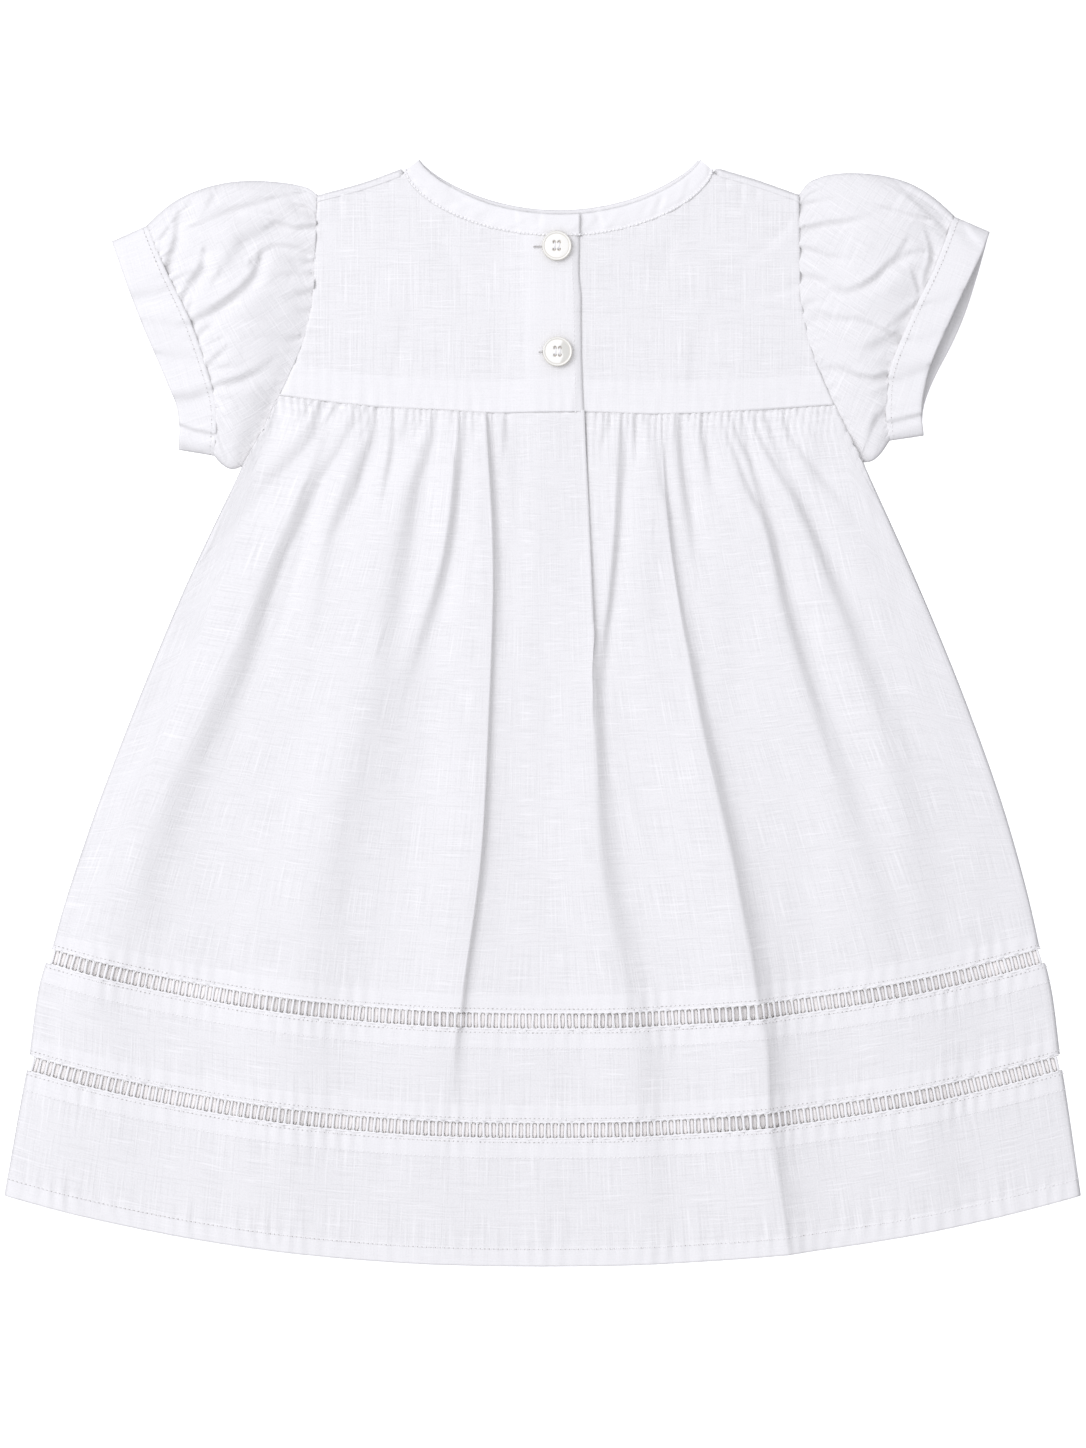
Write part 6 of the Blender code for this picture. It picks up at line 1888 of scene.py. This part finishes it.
def make_camera():
    lens = bpy.data.cameras.new("camera")
    lens.sensor_fit = "VERTICAL"
    lens.sensor_height = SENSOR
    lens.sensor_width = SENSOR
    lens.lens = SENSOR * VIEW_DISTANCE / VIEW_TALL
    lens.clip_start = 0.05
    lens.clip_end = 20.0
    camera = into_scene("camera", lens)
    camera.location = (VIEW_CENTRE[0] * MM, VIEW_CENTRE[1] * MM, VIEW_DISTANCE * MM)
    bpy.context.scene.camera = camera
    bpy.context.scene.view_settings.view_transform = "Standard"


# The dress

# Stitched rows: how far above the cloth, how far from folds and rails in levels, and their places on
# the flap, the neck bands and the cuffs
STITCH_LIFT = 0.04
STITCH_HIGHER = 0.05
STITCH_FROM_FOLD = 0.006
STITCH_FROM_RAIL = 0.011
SKIRT_STITCH_FROM_RAIL = 0.0045
FLAP_STITCH_COLUMN = 3.0
NECK_STITCH_ROW = 11.1
NECK_STITCH_LIFT = 0.14
CUFF_STITCH_RINGS = (-4, 3)
CUFF_STITCH_ENDS = 6
# Pitch of the dark beads that paint the shade in needle holes
NEEDLE_SHADE_PITCH = 1.8


def ride_all(pieces):
    for piece in pieces:
        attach(piece, "root")


def line_across(part, level, lift):
    """A line across a part of the skirt at one level, a little above its cloth."""
    _, cloth, levels = part
    return cloth.row(float(np.interp(level, levels, np.arange(len(levels)))), lift)


def make_stitches(tree, threads, skirt, middle, hem, flap, bands, cuffs):
    """Every stitched row, with painted shade for the needle holes between the stitches of the rows that show
    them and for the buttonhole slits.
    """
    thread, bright_thread, painted_hole_shade = threads
    hem_lines = [line_across(hem, 2.0 - TURN + STITCH_FROM_FOLD, STITCH_HIGHER)]
    strip_lines = [
        line_across(middle, UPPER_LADDER[1] + BELOW - STITCH_FROM_FOLD, STITCH_LIFT),
        line_across(hem, LOWER_LADDER[1] + BELOW - STITCH_FROM_FOLD, STITCH_LIFT),
        line_across(middle, UPPER_LADDER[1] + STITCH_FROM_RAIL, STITCH_LIFT),
        line_across(hem, LOWER_LADDER[1] + STITCH_FROM_RAIL, STITCH_LIFT),
        line_across(middle, LOWER_LADDER[0] - STITCH_FROM_RAIL, STITCH_LIFT),
        line_across(skirt, 1.0 - SKIRT_STITCH_FROM_RAIL, STITCH_LIFT),
    ]
    flap_line = flap.row(flap.places.shape[1] - 1 - FLAP_STITCH_COLUMN, STITCH_HIGHER, turned=True)
    neck_lines = [band.row(NECK_STITCH_ROW, NECK_STITCH_LIFT) for band in bands]
    cuff_lines = []
    for rings, ring in zip(cuffs, CUFF_STITCH_RINGS):
        line = rings[ring, : UPPER_STEPS + 1].copy()
        line[:, 2] += STITCH_HIGHER
        cuff_lines.append(line[CUFF_STITCH_ENDS:-CUFF_STITCH_ENDS])
    needle_shaded_rows = hem_lines + cuff_lines + strip_lines[2:]
    # Dark beads of painted shade for the needle holes, half a pitch after the stitches
    needle_shade_lines = [later(line, NEEDLE_SHADE_PITCH / 2.0) + (0.0, 0.0, STITCH_HIGHER) for line in needle_shaded_rows]
    # Each buttonhole slit is a row of dark beads that paint the shade in its opening
    edge_lines, slit_lines = [], []
    for ends, up in zip(SLIT_SPANS, SLIT_UPS):
        slit = np.array([(end, up, SLIT_TOP) for end in ends[::-1]])
        slit_lines.append(slit)
        edge_lines += [slit + (0.0, off, 0.0) for off in (-SLIT_STITCH_OFF, SLIT_STITCH_OFF)]
    rows = [
        ("hem_stitches", hem_lines, thread, 1.8, (1.25, 0.5, 0.35), {"seed": 61}),
        ("ladder_stitches", strip_lines, thread, 1.9, (1.1, 0.42, 0.28), {"seed": 63}),
        ("yoke_stitches", [flap_line], thread, 1.9, (1.2, 0.42, 0.28), {"seed": 65}),
        (
            "neck_stitches", neck_lines, bright_thread, 1.6, (1.2, 0.8, 0.7),
            {"lean": 0.3, "unevenness": 0.25, "seed": 67},
        ),
        ("cuff_stitches", cuff_lines, thread, 1.8, (1.2, 0.45, 0.3), {"seed": 69}),
        ("painted_needle_hole_shade", needle_shade_lines, painted_hole_shade, NEEDLE_SHADE_PITCH, (0.62, 0.36, 0.22), {"unevenness": 0.35, "seed": 73}),
        (
            "buttonhole_stitches", edge_lines, bright_thread, 0.5, (0.6, 0.36, 0.3),
            {"turn": math.pi / 2, "seed": 71},
        ),
        ("painted_buttonhole_slit_shade", slit_lines, painted_hole_shade, 0.5, (0.7, 0.5, 0.22), {"seed": 75}),
    ]
    return {
        name: beads(name, lines, tree, finish, pitch, size, **more)
        for name, lines, finish, pitch, size, more in rows
    }


def main():
    make_floor()
    make_light()
    make_camera()
    cotton = slub_cotton("white slub cotton")
    thread = cotton_thread("white cotton thread")
    # The front ladders' thread carries a painted warm shade tone
    shade_toned_thread = cotton_thread("white cotton thread with painted warm shade", SHADE_TONED_THREAD_COLOUR)
    bright_thread = cotton_thread("bright cotton thread", BRIGHT_THREAD_COLOUR)
    # Painted shade for the needle holes and the buttonhole slits
    painted_hole_shade = cotton_thread("shade in needle holes", PAINTED_HOLE_SHADE_COLOUR)
    shell = pearl("pearl button")
    tree = stitch_tree()

    skirt_part = make_back_skirt(cotton)
    middle_part, hem_part = make_back_bands(cotton)
    skirt, middle, hem = skirt_part[0], middle_part[0], hem_part[0]
    placket = make_placket(cotton)
    fronts = make_front_panels(cotton)
    yoke_left, yoke_right, flap = make_back_yoke(cotton)
    front_yoke = make_front_yoke(cotton)
    bands, band_cloths = make_neck_bands(cotton)
    sleeve_left = make_sleeve(
        "sleeve_left_cloth", ARMHOLE_LEFT, LEFT_CUFF_SEAM, -1, LEFT_SLEEVE_CREASES, cotton, 31.0
    )
    sleeve_right = make_sleeve(
        "sleeve_right_cloth", ARMHOLE_RIGHT, RIGHT_CUFF_SEAM, 1, RIGHT_SLEEVE_CREASES, cotton, 37.0
    )
    cuff_left, left_rings = make_cuff(
        "cuff_left_cloth", LEFT_CUFF_SEAM, LEFT_CUFF_EDGE, LEFT_CUFF_EDGE, -1, CUFF_HEIGHTS_LEFT,
        LEFT_CUFF_CREASES, cotton, 41.0,
    )
    cuff_right, right_rings = make_cuff(
        "cuff_right_cloth", RIGHT_CUFF_SEAM, RIGHT_CUFF_EDGE, RIGHT_CUFF_UNDER_EDGE, 1, CUFF_HEIGHTS_RIGHT,
        RIGHT_CUFF_CREASES, cotton, 43.0,
    )
    ladders = [
        make_ladder("back_ladder_upper", UPPER_LADDER, tree, thread, False, 51),
        make_ladder("back_ladder_lower", LOWER_LADDER, tree, thread, False, 53),
        make_ladder("front_ladder_upper", UPPER_LADDER, tree, shade_toned_thread, True, 55),
        make_ladder("front_ladder_lower", LOWER_LADDER, tree, shade_toned_thread, True, 57),
    ]
    threads = (thread, bright_thread, painted_hole_shade)
    stitches = make_stitches(
        tree, threads, skirt_part, middle_part, hem_part, flap, band_cloths, (left_rings, right_rings)
    )
    buttons = make_buttons(shell, thread)

    ride_all([skirt, middle, hem, yoke_left, yoke_right, front_yoke, sleeve_left, sleeve_right])
    ride_all(fronts)
    ride_all([placket, cuff_left, cuff_right, *bands])
    ride_all(ladders)
    needle_shades = stitches.pop("painted_needle_hole_shade")
    ride_all([*stitches.values(), needle_shades])
    ride_all([disc for disc, knot in buttons])
    ride_all([knot for disc, knot in buttons])

    for piece, *nodes in [
        (skirt, "back_skirt"), (middle, "back_middle_band"), (hem, "back_hem_band"),
        (placket, "back_placket_strip"), (yoke_left, "back_yoke_left"), (yoke_right, "back_yoke_right"),
        (front_yoke, "front_yoke"), (fronts[0], "front_skirt"), (fronts[1], "front_middle_band"),
        (fronts[2], "front_hem_band"), (bands[0], "back_neck_band_left"),
        (bands[1], "back_neck_band_right"), (bands[2], "front_neck_band"), (sleeve_left, "sleeve_left"),
        (sleeve_right, "sleeve_right"), (cuff_left, "cuff_left"), (cuff_right, "cuff_right"),
        (ladders[0], "back_insertion_upper"), (ladders[1], "back_insertion_lower"),
        (ladders[2], "front_insertion_upper"), (ladders[3], "front_insertion_lower"),
        (buttons[0][0], "button_upper"), (buttons[1][0], "button_lower"),
    ]:
        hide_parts(*nodes)


main()
